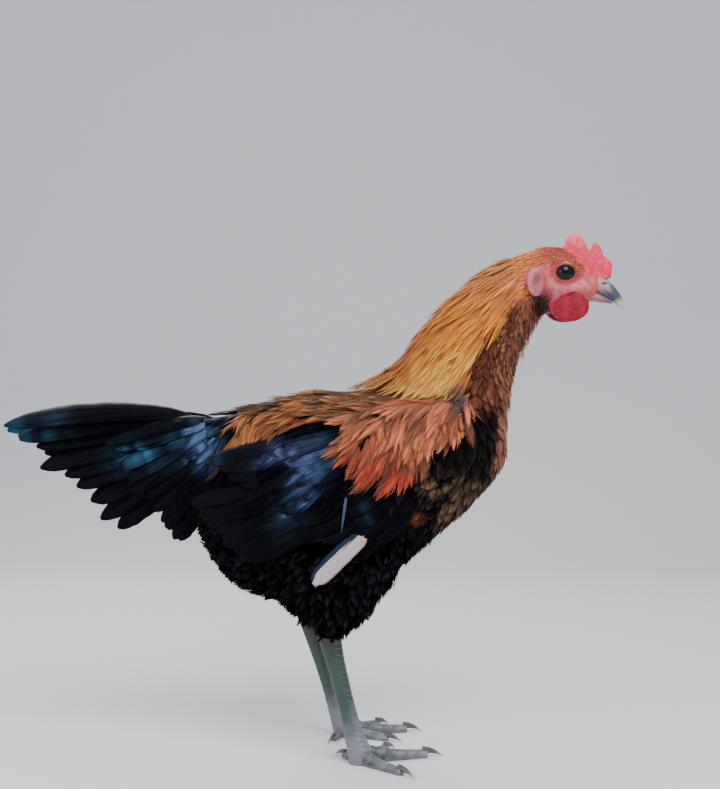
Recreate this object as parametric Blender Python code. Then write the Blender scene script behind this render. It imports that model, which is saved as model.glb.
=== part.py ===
"""A young gamecock standing at rest, life size, one closed solid for each part of its body.

The bird faces +X, its left side is +Y and it stands on Z = 0. Every size is in metres. The body's
parts are lofts through oval sections; feathers are thin leaves joined to the part they grow from.
"""

import math
import random

import bmesh
import bpy
from mathutils import Matrix, Vector

BIRD = "gamecock"

# The air left between two parts that touch.
GAP = 0.0003

# The body, tail end first: place along X, height of the back, height of the belly, half width.
TORSO_SECTIONS = (
    (-0.0970, 0.2540, 0.1800, 0.0100),
    (-0.0910, 0.2670, 0.1640, 0.0190),
    (-0.0780, 0.2725, 0.1440, 0.0280),
    (-0.0600, 0.2765, 0.1275, 0.0360),
    (-0.0300, 0.2820, 0.1165, 0.0440),
    (0.0000, 0.2875, 0.1150, 0.0480),
    (0.0350, 0.2925, 0.1210, 0.0500),
    (0.0700, 0.2990, 0.1430, 0.0505),
    (0.1000, 0.3030, 0.1675, 0.0480),
    (0.1280, 0.2980, 0.1905, 0.0410),
    (0.1480, 0.2820, 0.2130, 0.0300),
    (0.1590, 0.2600, 0.2300, 0.0140),
)
TORSO_FULLNESS = 0.10

# The neck, body end first: nape point (x, z), throat point (x, z), half width.
NECK_SECTIONS = (
    (0.0560, 0.2760, 0.1440, 0.2230, 0.0430),
    (0.0655, 0.3050, 0.1590, 0.2480, 0.0415),
    (0.0790, 0.3310, 0.1625, 0.2700, 0.0365),
    (0.0985, 0.3540, 0.1660, 0.2895, 0.0310),
    (0.1185, 0.3725, 0.1700, 0.3085, 0.0260),
    (0.1385, 0.3880, 0.1760, 0.3280, 0.0225),
    (0.1580, 0.3995, 0.1835, 0.3430, 0.0195),
    (0.1760, 0.4050, 0.1885, 0.3500, 0.0175),
)

# The head, from the nape to the root of the beak: upper point, lower point, half width.
HEAD_SECTIONS = (
    (0.1763, 0.4050, 0.1889, 0.3501, 0.0175),
    (0.1890, 0.4078, 0.1965, 0.3520, 0.0172),
    (0.2050, 0.4070, 0.2075, 0.3550, 0.0176),
    (0.2190, 0.4000, 0.2185, 0.3585, 0.0150),
    (0.2300, 0.3905, 0.2245, 0.3610, 0.0112),
    (0.2368, 0.3835, 0.2290, 0.3625, 0.0080),
)
UPPER_BEAK_SECTIONS = (
    (0.2371, 0.3832, 0.2305, 0.3706, 0.0076),
    (0.2430, 0.3806, 0.2375, 0.3684, 0.0068),
    (0.2492, 0.3754, 0.2440, 0.3652, 0.0053),
    (0.2540, 0.3680, 0.2500, 0.3608, 0.0033),
    (0.2568, 0.3580, 0.2552, 0.3566, 0.0009),
)
LOWER_BEAK_SECTIONS = (
    (0.2302, 0.3699, 0.2292, 0.3628, 0.0066),
    (0.2365, 0.3676, 0.2360, 0.3618, 0.0058),
    (0.2430, 0.3645, 0.2428, 0.3610, 0.0042),
    (0.2478, 0.3614, 0.2476, 0.3601, 0.0014),
)

EYE_CENTRE = (0.2048, 0.3852)
EYE_RADIUS = 0.0084
EYE_OUT = 0.0023
LID_RADIUS = 0.0011
LID_SLIT = (0.0070, 0.0058)
NOSTRIL = (0.2418, 0.3762)
NOSTRIL_RADII = (0.0022, 0.0012, 0.0009)

# The comb's edge (x, z), from the back of its root over its three points to the beak.
COMB_EDGE = (
    (0.2062, 0.4030),
    (0.2076, 0.4110),
    (0.2106, 0.4172),
    (0.2150, 0.4205),
    (0.2196, 0.4196),
    (0.2234, 0.4146),
    (0.2264, 0.4078),
    (0.2286, 0.4054),
    (0.2308, 0.4100),
    (0.2334, 0.4136),
    (0.2362, 0.4100),
    (0.2386, 0.4040),
    (0.2405, 0.4008),
    (0.2436, 0.4008),
    (0.2464, 0.3945),
    (0.2462, 0.3872),
    (0.2436, 0.3818),
    (0.2300, 0.3800),
)
COMB_ROOT_THICKNESS = 0.0072
COMB_TIP_THICKNESS = 0.0026

WATTLE_CENTRE = (0.2082, 0.0128, 0.3576)
WATTLE_RADII = (0.0166, 0.0026, 0.0136)
WATTLE_SPLAY = 6.0
WATTLE_FOLD = 0.0011
# The wattle's straight upper edge, as a share of its round one, and how much higher the left one hangs.
WATTLE_TOP = 0.78
WATTLE_RISE = 0.0030
LOBE_CENTRE = (0.1802, 0.0186, 0.3758)
LOBE_RADII = (0.0072, 0.0034, 0.0117)
LOBE_CUP = (0.0042, 0.0022, 0.0080)

# The feathered leg, body end first: back point (x, z), front point (x, z), half width, distance out.
THIGH_SECTIONS = (
    (-0.0300, 0.1650, 0.0760, 0.2000, 0.0170, 0.0290),
    (-0.0260, 0.1420, 0.0795, 0.1680, 0.0180, 0.0305),
    (-0.0190, 0.1240, 0.0710, 0.1440, 0.0172, 0.0335),
    (-0.0110, 0.1120, 0.0555, 0.1230, 0.0150, 0.0370),
    (-0.0040, 0.1050, 0.0430, 0.1090, 0.0128, 0.0400),
    (0.0020, 0.1000, 0.0315, 0.0995, 0.0104, 0.0420),
    (0.0060, 0.0965, 0.0240, 0.0945, 0.0088, 0.0428),
)

# The bare leg, from hock to toes: back point (x, z), front point (x, z), half width.
SHANK_SECTIONS = (
    (0.0054, 0.0960, 0.0236, 0.0940, 0.0074),
    (0.0100, 0.0820, 0.0256, 0.0800, 0.0062),
    (0.0162, 0.0620, 0.0302, 0.0590, 0.0055),
    (0.0214, 0.0430, 0.0352, 0.0395, 0.0056),
    (0.0250, 0.0270, 0.0402, 0.0235, 0.0064),
)
ANKLE_SECTIONS = (
    (0.0251, 0.0267, 0.0403, 0.0232, 0.0064),
    (0.0264, 0.0190, 0.0440, 0.0160, 0.0078),
    (0.0280, 0.0100, 0.0475, 0.0090, 0.0092),
    (0.0300, 0.0000, 0.0460, 0.0000, 0.0078),
)
STANCE = 0.0435
SCUTES_ON_SHANK = 9
SCUTE_STEP = 0.0007
FOOT_CENTRE = 0.0365

# Each foot: how far its leg is set back, how much more at each metre of height, and its toes'
# headings from straight ahead, inwards positive.
STANCES = {
    "right": (0.0, 0.0, {"inner": 58.0, "middle": 18.0, "outer": -46.0, "hind": 122.0}),
    "left": (-0.0135, -0.060, {"inner": 26.0, "middle": -13.0, "outer": -48.0, "hind": 110.0}),
}
# Each toe: length, radius, plates along it.
TOES = {
    "inner": (0.042, 0.0046, 5),
    "middle": (0.056, 0.0052, 7),
    "outer": (0.046, 0.0046, 6),
    "hind": (0.020, 0.0040, 3),
}
CLAW_LENGTH = 0.0130

# The flank behind this place runs straight, so that a folded wing lies flat on it.
REAR_OF_FLANK = -0.030
WING_TAPER = 0.20

# The folded wing's arm seen from the side, front first: x, upper z, lower z.
WING_ARM = (
    (0.1340, 0.2560, 0.2500),
    (0.1260, 0.2705, 0.2300),
    (0.1000, 0.2730, 0.2060),
    (0.0600, 0.2720, 0.1880),
    (0.0200, 0.2670, 0.1820),
    (-0.0150, 0.2560, 0.1850),
    (-0.0420, 0.2360, 0.2060),
)
WING_ARM_THICKNESS = 0.0046

# The wing's feathers, lowest tier first: how many, first root, last root, first tip, last tip (x, z),
# width, how far out the tier lies.
WING_TIERS = (
    (4, (0.020, 0.190), (-0.010, 0.212), (-0.058, 0.158), (-0.094, 0.196), 0.0200, 0.0014),
    (6, (0.062, 0.194), (0.018, 0.256), (0.030, 0.158), (-0.082, 0.226), 0.0240, 0.0032),
    (5, (0.088, 0.202), (0.044, 0.262), (0.052, 0.168), (-0.026, 0.232), 0.0245, 0.0056),
    (5, (0.108, 0.214), (0.066, 0.266), (0.078, 0.186), (0.012, 0.226), 0.0220, 0.0074),
    (4, (0.124, 0.226), (0.090, 0.268), (0.098, 0.200), (0.044, 0.236), 0.0225, 0.0088),
    (3, (0.133, 0.243), (0.114, 0.268), (0.114, 0.217), (0.080, 0.244), 0.0205, 0.0100),
)
WING_VANE = 0.0007
SHINGLE = 6.0
PALE_FEATHER = ((0.044, 0.186), (0.0035, 0.137), 0.0125)

# Rows of long pointed feathers on the neck: place along it, angles from the nape, length.
HACKLE_ROWS = (
    (6.70, (22, 62, 100), 0.040),
    (5.60, (0, 40, 80), 0.050),
    (4.50, (20, 56, 88), 0.056),
    (3.40, (0, 32, 62), 0.050),
    (2.50, (16, 46), 0.040),
)
HACKLE_WIDTH = 0.0145
HACKLE_VANE = 0.0006
HACKLE_LIFT = 0.0022
HACKLE_FLOOR = 0.2800

# Rows of pointed feathers that hang from the back over the wing: x of the first and last, how many,
# angle from the back's middle line, length, how far out they lie over the wing.
SADDLE_ROWS = (
    (-0.014, -0.066, 5, 32.0, 0.036, 0.0088),
    (-0.020, -0.072, 5, 16.0, 0.035, 0.0106),
)
SADDLE_WIDTH = 0.0190

# The root of the tail seen from the side, body end first: upper point, lower point, half width.
TAIL_SECTIONS = (
    (-0.0860, 0.2710, -0.0860, 0.1880, 0.0190),
    (-0.1050, 0.2735, -0.1010, 0.1900, 0.0150),
    (-0.1250, 0.2730, -0.1200, 0.2080, 0.0105),
    (-0.1500, 0.2690, -0.1460, 0.2320, 0.0050),
)
# Tail feathers on each side, uppermost first: root (x, z), heading above the level, length, width,
# bend down at the tip, distance out of the root and of the tip, lean of the vane from upright.
TAIL_FEATHERS = (
    (-0.100, 0.2675, 6.5, 0.1560, 0.0230, 0.0300, 0.0078, 0.0080, 30.0),
    (-0.098, 0.2640, 0.5, 0.1450, 0.0240, 0.0190, 0.0070, 0.0068, 24.0),
    (-0.098, 0.2590, -5.5, 0.1330, 0.0240, 0.0120, 0.0060, 0.0056, 18.0),
    (-0.097, 0.2530, -11.5, 0.1210, 0.0240, 0.0100, 0.0050, 0.0045, 14.0),
    (-0.096, 0.2455, -18.0, 0.1090, 0.0230, 0.0080, 0.0040, 0.0034, 10.0),
    (-0.094, 0.2375, -25.0, 0.0950, 0.0220, 0.0060, 0.0030, 0.0023, 8.0),
    (-0.092, 0.2290, -33.0, 0.0830, 0.0210, 0.0040, 0.0020, 0.0013, 6.0),
)
TAIL_COVERTS = (
    (-0.088, 0.2650, -2.0, 0.0800, 0.0210, 0.0130, 0.0150, 0.0125, 36.0),
    (-0.086, 0.2550, -12.0, 0.0750, 0.0210, 0.0120, 0.0168, 0.0112, 20.0),
    (-0.085, 0.2430, -23.0, 0.0680, 0.0210, 0.0100, 0.0170, 0.0100, 12.0),
    (-0.084, 0.2300, -34.0, 0.0600, 0.0200, 0.0080, 0.0168, 0.0090, 6.0),
    (-0.083, 0.2170, -44.0, 0.0540, 0.0190, 0.0060, 0.0152, 0.0080, 4.0),
    (-0.084, 0.2040, -52.0, 0.0440, 0.0180, 0.0040, 0.0120, 0.0060, 4.0),
)
TAIL_VANE = 0.0007

LONG_ROUND_TIP = ((0.0, 0.50), (0.34, 0.92), (0.70, 1.0), (0.92, 0.76), (1.0, 0.34))
ROUND_TIP = ((0.0, 0.55), (0.42, 1.0), (0.84, 0.90), (1.0, 0.36))
POINTED_TIP = ((0.0, 0.60), (0.35, 1.0), (0.72, 0.72), (1.0, 0.16))


def material(name, colour, roughness):
    """A plain Principled finish in the given linear colour."""
    made = bpy.data.materials.new(name)
    made.use_nodes = True
    shader = made.node_tree.nodes["Principled BSDF"]
    shader.inputs["Base Color"].default_value = (*colour, 1.0)
    shader.inputs["Roughness"].default_value = roughness
    made.diffuse_color = (*colour, 1.0)
    return made


def smooth_row(rows, s):
    """The row of numbers at s along a list of rows, on a smooth curve through them."""
    last = len(rows) - 1
    i = min(max(int(s), 0), last - 1)
    t = s - i
    before, here, there, after = (rows[min(max(i + k, 0), last)] for k in (-1, 0, 1, 2))
    return [
        0.5 * (2 * b + (c - a) * t + (2 * a - 5 * b + 4 * c - d) * t**2 + (3 * b - a - 3 * c + d) * t**3)
        for a, b, c, d in zip(before, here, there, after)
    ]


class Form:
    """A part of the body through oval sections, each from an upper to a lower point with a half width."""

    def __init__(self, sections, side=0, fullness=0.0, shift=0.0, lean=0.0):
        """Each section is upper x, z, lower x, z, half width and, away from the middle, its distance out."""
        self.rows = [
            (ux + shift + lean * uz, uz, lx + shift + lean * lz, lz, half, side * (out[0] if out else 0.0))
            for ux, uz, lx, lz, half, *out in sections
        ]
        self.last = len(self.rows) - 1
        self.fullness = fullness

    def section(self, s):
        """The middle of the section at s, the arm from there to its upper point, and its half width."""
        ux, uz, lx, lz, half, y = smooth_row(self.rows, s)
        upper, lower = Vector((ux, y, uz)), Vector((lx, y, lz))
        return (upper + lower) / 2, (upper - lower) / 2, half

    def skin(self, s, angle):
        """The point of the surface at s, angle round from the upper point towards +Y."""
        middle, arm, half = self.section(s)
        across = half * math.sin(angle) * (1 + self.fullness * math.cos(angle))
        return middle + arm * math.cos(angle) + Vector((0, across, 0))

    def normal(self, s, angle):
        """The outward direction of the surface at s and angle."""
        step = 0.02
        s = min(max(s, step), self.last - step)
        along = self.skin(s + step, angle) - self.skin(s - step, angle)
        around = self.skin(s, angle + step) - self.skin(s, angle - step)
        out = along.cross(around).normalized()
        away = self.skin(s, angle) - self.section(s)[0]
        return out if out.dot(away) > 0 else -out

    def at(self, s, angle, lift):
        """The point that stands out of the surface by lift."""
        return self.skin(s, angle) + lift * self.normal(s, angle)

    def station(self, x):
        """How far along the sections the place x is, where they stand upright in order of X."""
        places = [row[0] for row in self.rows]
        i = max(k for k in range(self.last) if k == 0 or places[k] <= x)
        return min(max(i + (x - places[i]) / (places[i + 1] - places[i]), 0.0), self.last)

    def outside(self, point, margin):
        """The point itself, or where it lies too deep the place above it that clears the form by margin."""
        middle, arm, half = self.section(self.station(point.x))
        up = (point.z - middle.z) / (arm.z + margin)
        across = point.y / ((half + margin) * (1 + self.fullness * max(-1.0, min(up, 1.0))))
        reach = math.hypot(up, across)
        if reach >= 1.0 or reach < 0.05:
            return point
        return Vector((point.x, point.y / reach, middle.z + (point.z - middle.z) / reach))

    def solid(self, name, rings, sides, grow=0.0):
        """The closed solid of the form, grown on every side by grow."""
        loops = []
        for i in range(rings):
            s = self.last * i / (rings - 1)
            loops.append([self.at(s, 2 * math.pi * k / sides, grow) for k in range(sides)])
        if grow:
            for loop, end, inner in ((loops[0], 0, 0.1), (loops[-1], self.last, self.last - 0.1)):
                outwards = (self.section(end)[0] - self.section(inner)[0]).normalized()
                for point in loop:
                    point += grow * outwards
        return loft(name, loops)


def mesh_object(name, points, faces):
    """A mesh object of these points and faces, with its faces turned outwards."""
    mesh = bpy.data.meshes.new(name)
    mesh.from_pydata([tuple(p) for p in points], [], faces)
    shape = bmesh.new()
    shape.from_mesh(mesh)
    bmesh.ops.recalc_face_normals(shape, faces=shape.faces)
    shape.to_mesh(mesh)
    shape.free()
    made = bpy.data.objects.new(name, mesh)
    bpy.context.scene.collection.objects.link(made)
    return made


def loft(name, loops):
    """A closed solid through loops of the same number of points, with a fan of faces at each end."""
    sides = len(loops[0])
    points = [p for loop in loops for p in loop]
    faces = []
    for row in range(len(loops) - 1):
        for k in range(sides):
            a, b = row * sides + k, row * sides + (k + 1) % sides
            faces += [(a, b, b + sides), (a, b + sides, a + sides)]
    for loop, start in ((loops[0], 0), (loops[-1], (len(loops) - 1) * sides)):
        hub = len(points)
        points.append(sum(loop, Vector()) / sides)
        faces += [(start + k, start + (k + 1) % sides, hub) for k in range(sides)]
    return mesh_object(name, points, faces)


def vane(name, spine, normals, width, thickness, outline):
    """A feather: a thin leaf along its spine with the given outline, both of its faces split alike."""
    points, faces = [], []
    for i, (place, normal) in enumerate(zip(spine, normals)):
        ahead = spine[min(i + 1, len(spine) - 1)] - spine[max(i - 1, 0)]
        across = ahead.cross(normal).normalized() * width * outline[i][1] / 2
        out = across.cross(ahead).normalized() * thickness / 2
        if i == len(spine) - 1:
            out *= 0.6
        points += [place + across + out, place - across + out, place - across - out, place + across - out]
    for i in range(len(spine) - 1):
        a, b, c, d = (4 * i + k for k in range(4))
        e, f, g, h = (4 * i + 4 + k for k in range(4))
        faces += [(a, b, f), (a, f, e), (d, c, g), (d, g, h), (b, c, g), (b, g, f), (a, d, h), (a, h, e)]
    end = len(points) - 4
    faces += [(0, 1, 2), (0, 2, 3), (end, end + 1, end + 2), (end, end + 2, end + 3)]
    return mesh_object(name, points, faces)


def evaluated_mesh(obj):
    """The object's mesh with its modifiers applied and its place in its points."""
    bpy.context.view_layer.update()
    graph = bpy.context.evaluated_depsgraph_get()
    mesh = bpy.data.meshes.new_from_object(obj.evaluated_get(graph))
    mesh.transform(obj.matrix_world)
    return mesh


def as_mesh_object(obj):
    """A mesh object in place of a curve or of one with modifiers, with its caps welded."""
    mesh = evaluated_mesh(obj)
    shape = bmesh.new()
    shape.from_mesh(mesh)
    bmesh.ops.remove_doubles(shape, verts=shape.verts, dist=1e-6)
    bmesh.ops.triangulate(shape, faces=shape.faces)
    bmesh.ops.recalc_face_normals(shape, faces=shape.faces)
    shape.to_mesh(mesh)
    shape.free()
    name = obj.name
    bpy.data.objects.remove(obj)
    made = bpy.data.objects.new(name, mesh)
    bpy.context.scene.collection.objects.link(made)
    return made


def keep_largest(mesh):
    """Leaves only the closed surface that holds the most, so that no loose scrap stays."""
    shape = bmesh.new()
    shape.from_mesh(mesh)
    bmesh.ops.triangulate(shape, faces=shape.faces)
    left, groups = set(shape.faces), []
    while left:
        front = [left.pop()]
        group = list(front)
        while front:
            near = {f for edge in front.pop().edges for f in edge.link_faces} & left
            left -= near
            front += near
            group += near
        groups.append(group)

    def volume(group):
        return abs(sum(a.co.dot(b.co.cross(c.co)) for a, b, c in (f.verts for f in group)))

    groups.sort(key=volume)
    bmesh.ops.delete(shape, geom=[f for g in groups[:-1] for f in g], context="FACES")
    bmesh.ops.delete(shape, geom=[v for v in shape.verts if not v.link_faces], context="VERTS")
    shape.to_mesh(mesh)
    shape.free()


def boolean(obj, others, operation):
    """Joins the others to obj, or cuts them from it, and applies the result."""
    group = bpy.data.collections.new("joined")
    bpy.context.scene.collection.children.link(group)
    for other in others:
        group.objects.link(other)
    modifier = obj.modifiers.new("joined", "BOOLEAN")
    modifier.operation = operation
    modifier.operand_type = "COLLECTION"
    modifier.collection = group
    modifier.solver = "MANIFOLD"
    mesh = evaluated_mesh(obj)
    obj.modifiers.remove(modifier)
    obj.data = mesh
    bpy.data.collections.remove(group)


def node(name, pieces, finish, cutters=()):
    """One named part: its pieces joined, its neighbours cut away, and only its one closed body kept."""
    whole = pieces[0]
    if len(pieces) > 1:
        boolean(whole, pieces[1:], "UNION")
        for piece in pieces[1:]:
            bpy.data.objects.remove(piece)
    if cutters:
        boolean(whole, cutters, "DIFFERENCE")
    keep_largest(whole.data)
    whole.name = whole.data.name = name
    whole.data.materials.clear()
    whole.data.materials.append(finish)
    whole.data.shade_smooth()
    whole.data.set_sharp_from_angle(angle=math.radians(40))
    bpy.context.scene.collection.objects.unlink(whole)
    bpy.data.collections[BIRD].objects.link(whole)
    return whole


def ellipsoid(name, centre, radii, segments=20, rings=12):
    """A closed ellipsoid, its poles along Y."""
    bpy.ops.mesh.primitive_uv_sphere_add(segments=segments, ring_count=rings, radius=1.0)
    ball = bpy.context.active_object
    ball.name = name
    ball.scale = (radii[0], radii[2], radii[1])
    ball.rotation_euler = (math.radians(90), 0, 0)
    ball.location = centre
    return as_mesh_object(ball)


def mirrored(centre, side):
    """The same place on the given side."""
    return (centre[0], side * centre[1], centre[2])


def wing_point(torso, x, z, side, lift):
    """The point beside the body at x and z that lies out of the folded wing's plane by lift."""
    middle, arm, half = torso.section(torso.station(max(x, REAR_OF_FLANK)))
    up = min(max((z - middle.z) / arm.z, 0.0), 0.96)
    out = half * math.sqrt(1 - up * up) * (1 + torso.fullness * up)
    return Vector((x, side * (out + WING_TAPER * min(x - REAR_OF_FLANK, 0.0) + lift), z))


def wing_normal(torso, x, z, side):
    """The outward direction of the folded wing's plane at x and z."""
    step = 0.002
    along = wing_point(torso, x + step, z, side, 0) - wing_point(torso, x - step, z, side, 0)
    upward = wing_point(torso, x, z + step, side, 0) - wing_point(torso, x, z - step, side, 0)
    out = along.cross(upward).normalized()
    return out if out.y * side > 0 else -out


def wing_arm(torso, side):
    """The folded arm of the wing as one smooth pad on the flank, which its feathers grow from."""
    loops = []
    rings, across = 10, 5
    for i in range(rings):
        x, top, bottom = smooth_row(WING_ARM, (len(WING_ARM) - 1) * i / (rings - 1))
        rounds = [(1 - math.cos(math.pi * k / across)) / 2 for k in range(across + 1)]
        heights = [bottom + (top - bottom) * share for share in rounds]
        swell = [math.sin(math.pi * k / across) for k in range(across + 1)]
        outer = [
            wing_point(torso, x, z, side, 0.0014 + WING_ARM_THICKNESS * lens)
            for z, lens in zip(heights, swell)
        ]
        inner = [wing_point(torso, x, z, side, GAP) for z in heights]
        loops.append(outer + inner[::-1])
    return loft("arm", loops)


def wing_feather(torso, side, root, tip, width, lift, tilt, droop):
    """One flat feather on the folded wing, from its root in the arm to its tip."""
    spine, normals = [], []
    root, tip = Vector((root[0], 0, root[1])), Vector((tip[0], 0, tip[1]))
    for t, _ in ROUND_TIP:
        flat = root.lerp(tip, t) + Vector((0, 0, droop * 4 * t * (t - 1)))
        rise = min(1.0, t / 0.40)
        out = min(0.0026, lift) * (1 - rise) + lift * rise
        spine.append(wing_point(torso, flat.x, flat.z, side, out))
        normal = wing_normal(torso, flat.x, flat.z, side)
        turn = Matrix.Rotation(side * math.radians(tilt * rise), 3, tip - root)
        normals.append(turn @ normal)
    return vane("feather", spine, normals, width, WING_VANE, ROUND_TIP)


def wing(torso, side, chance):
    """The folded wing: its arm with tiers of overlapping feathers, and on the right one pale feather."""
    pieces = [wing_arm(torso, side)]
    for count, root_a, root_b, tip_a, tip_b, width, lift in WING_TIERS:
        for j in range(count):
            f = j / (count - 1)
            root = [a + (b - a) * f for a, b in zip(root_a, root_b)]
            tip = [a + (b - a) * f for a, b in zip(tip_a, tip_b)]
            tip = [value + chance.uniform(-0.002, 0.002) for value in tip]
            tilt = SHINGLE + chance.uniform(-0.8, 0.8)
            pieces.append(wing_feather(torso, side, root, tip, width, lift, tilt, 0.002))
    if side < 0:
        root, tip, width = PALE_FEATHER
        pieces.append(wing_feather(torso, side, root, tip, width, 0.0004 + WING_VANE, 0.0, 0.001))
    return pieces


def form_feather(form, s, angle, length, width, thickness, rise, outline, clear):
    """A feather rooted in the form at s that runs back towards its first section, kept where clear allows."""
    spine, normals = [], []
    span = (form.skin(s, angle) - form.skin(s - 0.2, angle)).length / 0.2
    for t, _ in outline:
        here = max(s - t * length / span, 0.0)
        place = form.at(here, angle, -0.0022 * (1 - min(1.0, t / 0.3)) + rise * t)
        spine.append(clear(place, t))
        normals.append(form.normal(here, angle))
    return vane("feather", spine, normals, width, thickness, outline)


def hackle(neck, torso, chance):
    """The long pointed feathers of the neck, in rows from the head down to the shoulders."""

    def clear(place, t):
        return torso.outside(place, 0.0016 + 0.0012 * t)

    feathers = []
    for s, angles, length in HACKLE_ROWS:
        for angle in angles:
            for side in (-1, 1) if angle else (1,):
                turned = side * math.radians(angle + chance.uniform(-2.5, 2.5))
                reach = length * chance.uniform(0.94, 1.06)
                span = (neck.skin(s, turned) - neck.skin(s - 0.2, turned)).length / 0.2
                while neck.skin(max(s - reach / span, 0.0), turned).z < HACKLE_FLOOR and reach > 0.012:
                    reach *= 0.94
                feathers.append(
                    form_feather(
                        neck, s, turned, reach, HACKLE_WIDTH, HACKLE_VANE, HACKLE_LIFT, POINTED_TIP, clear
                    )
                )
    return feathers


def saddle(torso, chance):
    """The pointed feathers that hang from the rear of the back over the folded wings."""
    feathers = []
    for first, last, count, angle, length, out in SADDLE_ROWS:
        for j in range(count):
            for side in (-1, 1):
                x = first + (last - first) * j / (count - 1) + chance.uniform(-0.0015, 0.0015)
                reach = length * chance.uniform(0.92, 1.06)
                spine, normals = [], []
                for t, _ in POINTED_TIP:
                    turned = side * math.radians(angle + 62 * t * reach / 0.036)
                    s = torso.station(x - 0.45 * reach * t)
                    rise = min(1.0, t / 0.35)
                    lift = -0.0020 * (1 - rise) + out * rise
                    place = torso.at(s, turned, lift)
                    edge = wing_point(torso, place.x, place.z, side, lift if t else 0.0)
                    if t and abs(edge.y) > abs(place.y):
                        place.y = edge.y
                    spine.append(place)
                    normals.append(torso.normal(s, turned))
                feathers.append(vane("feather", spine, normals, SADDLE_WIDTH, HACKLE_VANE, POINTED_TIP))
    return feathers


def tail_feather(side, x, z, heading, length, width, bend, out_root, out_tip, lean):
    """One tail feather: straight from its root, bent down towards its tip."""
    turn, tilt = math.radians(heading), math.radians(lean)
    spine = []
    for t, _ in LONG_ROUND_TIP:
        along = length * t
        out = out_root + (out_tip - out_root) * t
        spine.append(
            Vector((x - along * math.cos(turn), side * out, z + along * math.sin(turn) - bend * t * t))
        )
    normal = Vector((0, side * math.cos(tilt), math.sin(tilt)))
    return vane("feather", spine, [normal] * len(spine), width, TAIL_VANE, LONG_ROUND_TIP)


def tail(chance):
    """The tail: its fleshy root, seven broad feathers on each side and the row that covers their roots."""
    pieces = [Form(TAIL_SECTIONS).solid("root", 7, 12)]
    for side in (-1, 1):
        for rows in (TAIL_FEATHERS, TAIL_COVERTS):
            for x, z, heading, length, *rest in rows:
                reach = length * chance.uniform(0.985, 1.015)
                pieces.append(tail_feather(side, x, z, heading + chance.uniform(-0.6, 0.6), reach, *rest))
    return pieces


def plated(form, name, plates, step, sides):
    """A scaled leg: its form with a row of overlapping plates down the front."""
    loops = []
    for i in range(plates):
        for t, raised in ((0.03, 0.0), (0.97, 1.0)):
            s = form.last * (i + t) / plates
            loop = []
            for k in range(sides):
                a = 2 * math.pi * k / sides
                front = max(0.0, -math.cos(a)) ** 0.5
                loop.append(form.at(s, a, step * (raised * front - 0.5)))
            loops.append(loop)
    return loft(name, loops)


def toe_and_claw(name, side, shift, heading, length, radius, plates):
    """One toe that rests flat on the floor, with plates along its top, and its claw."""
    turn = math.radians(heading)
    ahead = Vector((math.cos(turn), -side * math.sin(turn), 0))
    across = Vector((-ahead.y, ahead.x, 0))
    up = Vector((0, 0, 1))
    root = Vector((FOOT_CENTRE + shift, side * STANCE, 0))
    sides = 6
    stations = [0.0] + [(i + t) / plates for i in range(1, plates) for t in (0.05, 0.95)]
    loops = []
    for i, t in enumerate(stations):
        pad = 1 + 0.10 * math.cos(2 * math.pi * 3 * t)
        broad = radius * (1 - 0.36 * t) * pad
        tall = radius * (1 - 0.36 * t) + 0.75 * radius * (1 - t) ** 3
        raised = 0.06 * radius if i % 2 == 0 else -0.06 * radius
        middle = root + ahead * length * t + up * 0.86 * tall
        loop = []
        for k in range(sides):
            a = 2 * math.pi * (k + 0.5) / sides
            grown = raised if math.sin(a) > 0 else 0.0
            point = middle + across * broad * math.cos(a) + up * (tall + grown) * math.sin(a)
            point.z = max(point.z, 0.0)
            loop.append(point)
        loops.append(loop)
    toe = loft(name, loops)
    end = stations[-1] * length
    claw_loops = []
    for i in range(5):
        t = i / 4
        size = 0.52 * radius * (1 - t) ** 0.75 + 0.0003
        height = 0.56 * radius * (1 - t**2.2) + 0.10 * radius * math.sin(math.pi * t)
        middle = root + ahead * (end + GAP + CLAW_LENGTH * t) + up * (height + size)
        claw_loops.append(
            [
                middle + across * size * 0.8 * math.cos(a) + up * size * math.sin(a)
                for a in (2 * math.pi * (k + 0.5) / 6 for k in range(6))
            ]
        )
    return toe, loft(name + "_claw", claw_loops)


def foot(side, label, shift, lean, headings, scale, horn):
    """One foot: its ankle and its four toes joined, each toe with its own claw."""
    ankle = Form([(*row, STANCE) for row in ANKLE_SECTIONS], side, shift=shift, lean=lean)
    pieces = [ankle.solid("ankle", 6, 10)]
    for toe, (length, radius, plates) in TOES.items():
        made, claw = toe_and_claw(toe, side, shift, headings[toe], length, radius, plates)
        pieces.append(made)
        node(f"claw_{toe}_{label}", [claw], horn)
    node("foot_" + label, pieces, scale)


def comb():
    """The single comb: a leaf with three points along its edge, thick at its root and thin at its tips."""
    curve = bpy.data.curves.new("comb", "CURVE")
    curve.dimensions = "2D"
    curve.fill_mode = "BOTH"
    curve.bevel_resolution = 2
    spline = curve.splines.new("POLY")
    spline.points.add(len(COMB_EDGE) - 1)
    for point, (x, z) in zip(spline.points, COMB_EDGE):
        point.co = (x, z, 0, 1)
    spline.use_cyclic_u = True
    curve.bevel_depth = COMB_TIP_THICKNESS * 0.35
    curve.offset = -curve.bevel_depth
    curve.extrude = COMB_TIP_THICKNESS * 0.15
    leaf = bpy.data.objects.new("comb", curve)
    bpy.context.scene.collection.objects.link(leaf)
    leaf.rotation_euler = (math.radians(90), 0, 0)
    leaf = as_mesh_object(leaf)
    brow, beak = Vector((0.2065, 0.4030)), Vector((0.2400, 0.3810))
    slope = (beak - brow).normalized()
    for vertex in leaf.data.vertices:
        height = abs((Vector((vertex.co.x, vertex.co.z)) - brow).cross(slope))
        fading = max(0.0, 1 - height / 0.016)
        vertex.co.y *= 1 + (COMB_ROOT_THICKNESS / COMB_TIP_THICKNESS - 1) * fading
    return leaf


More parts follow.
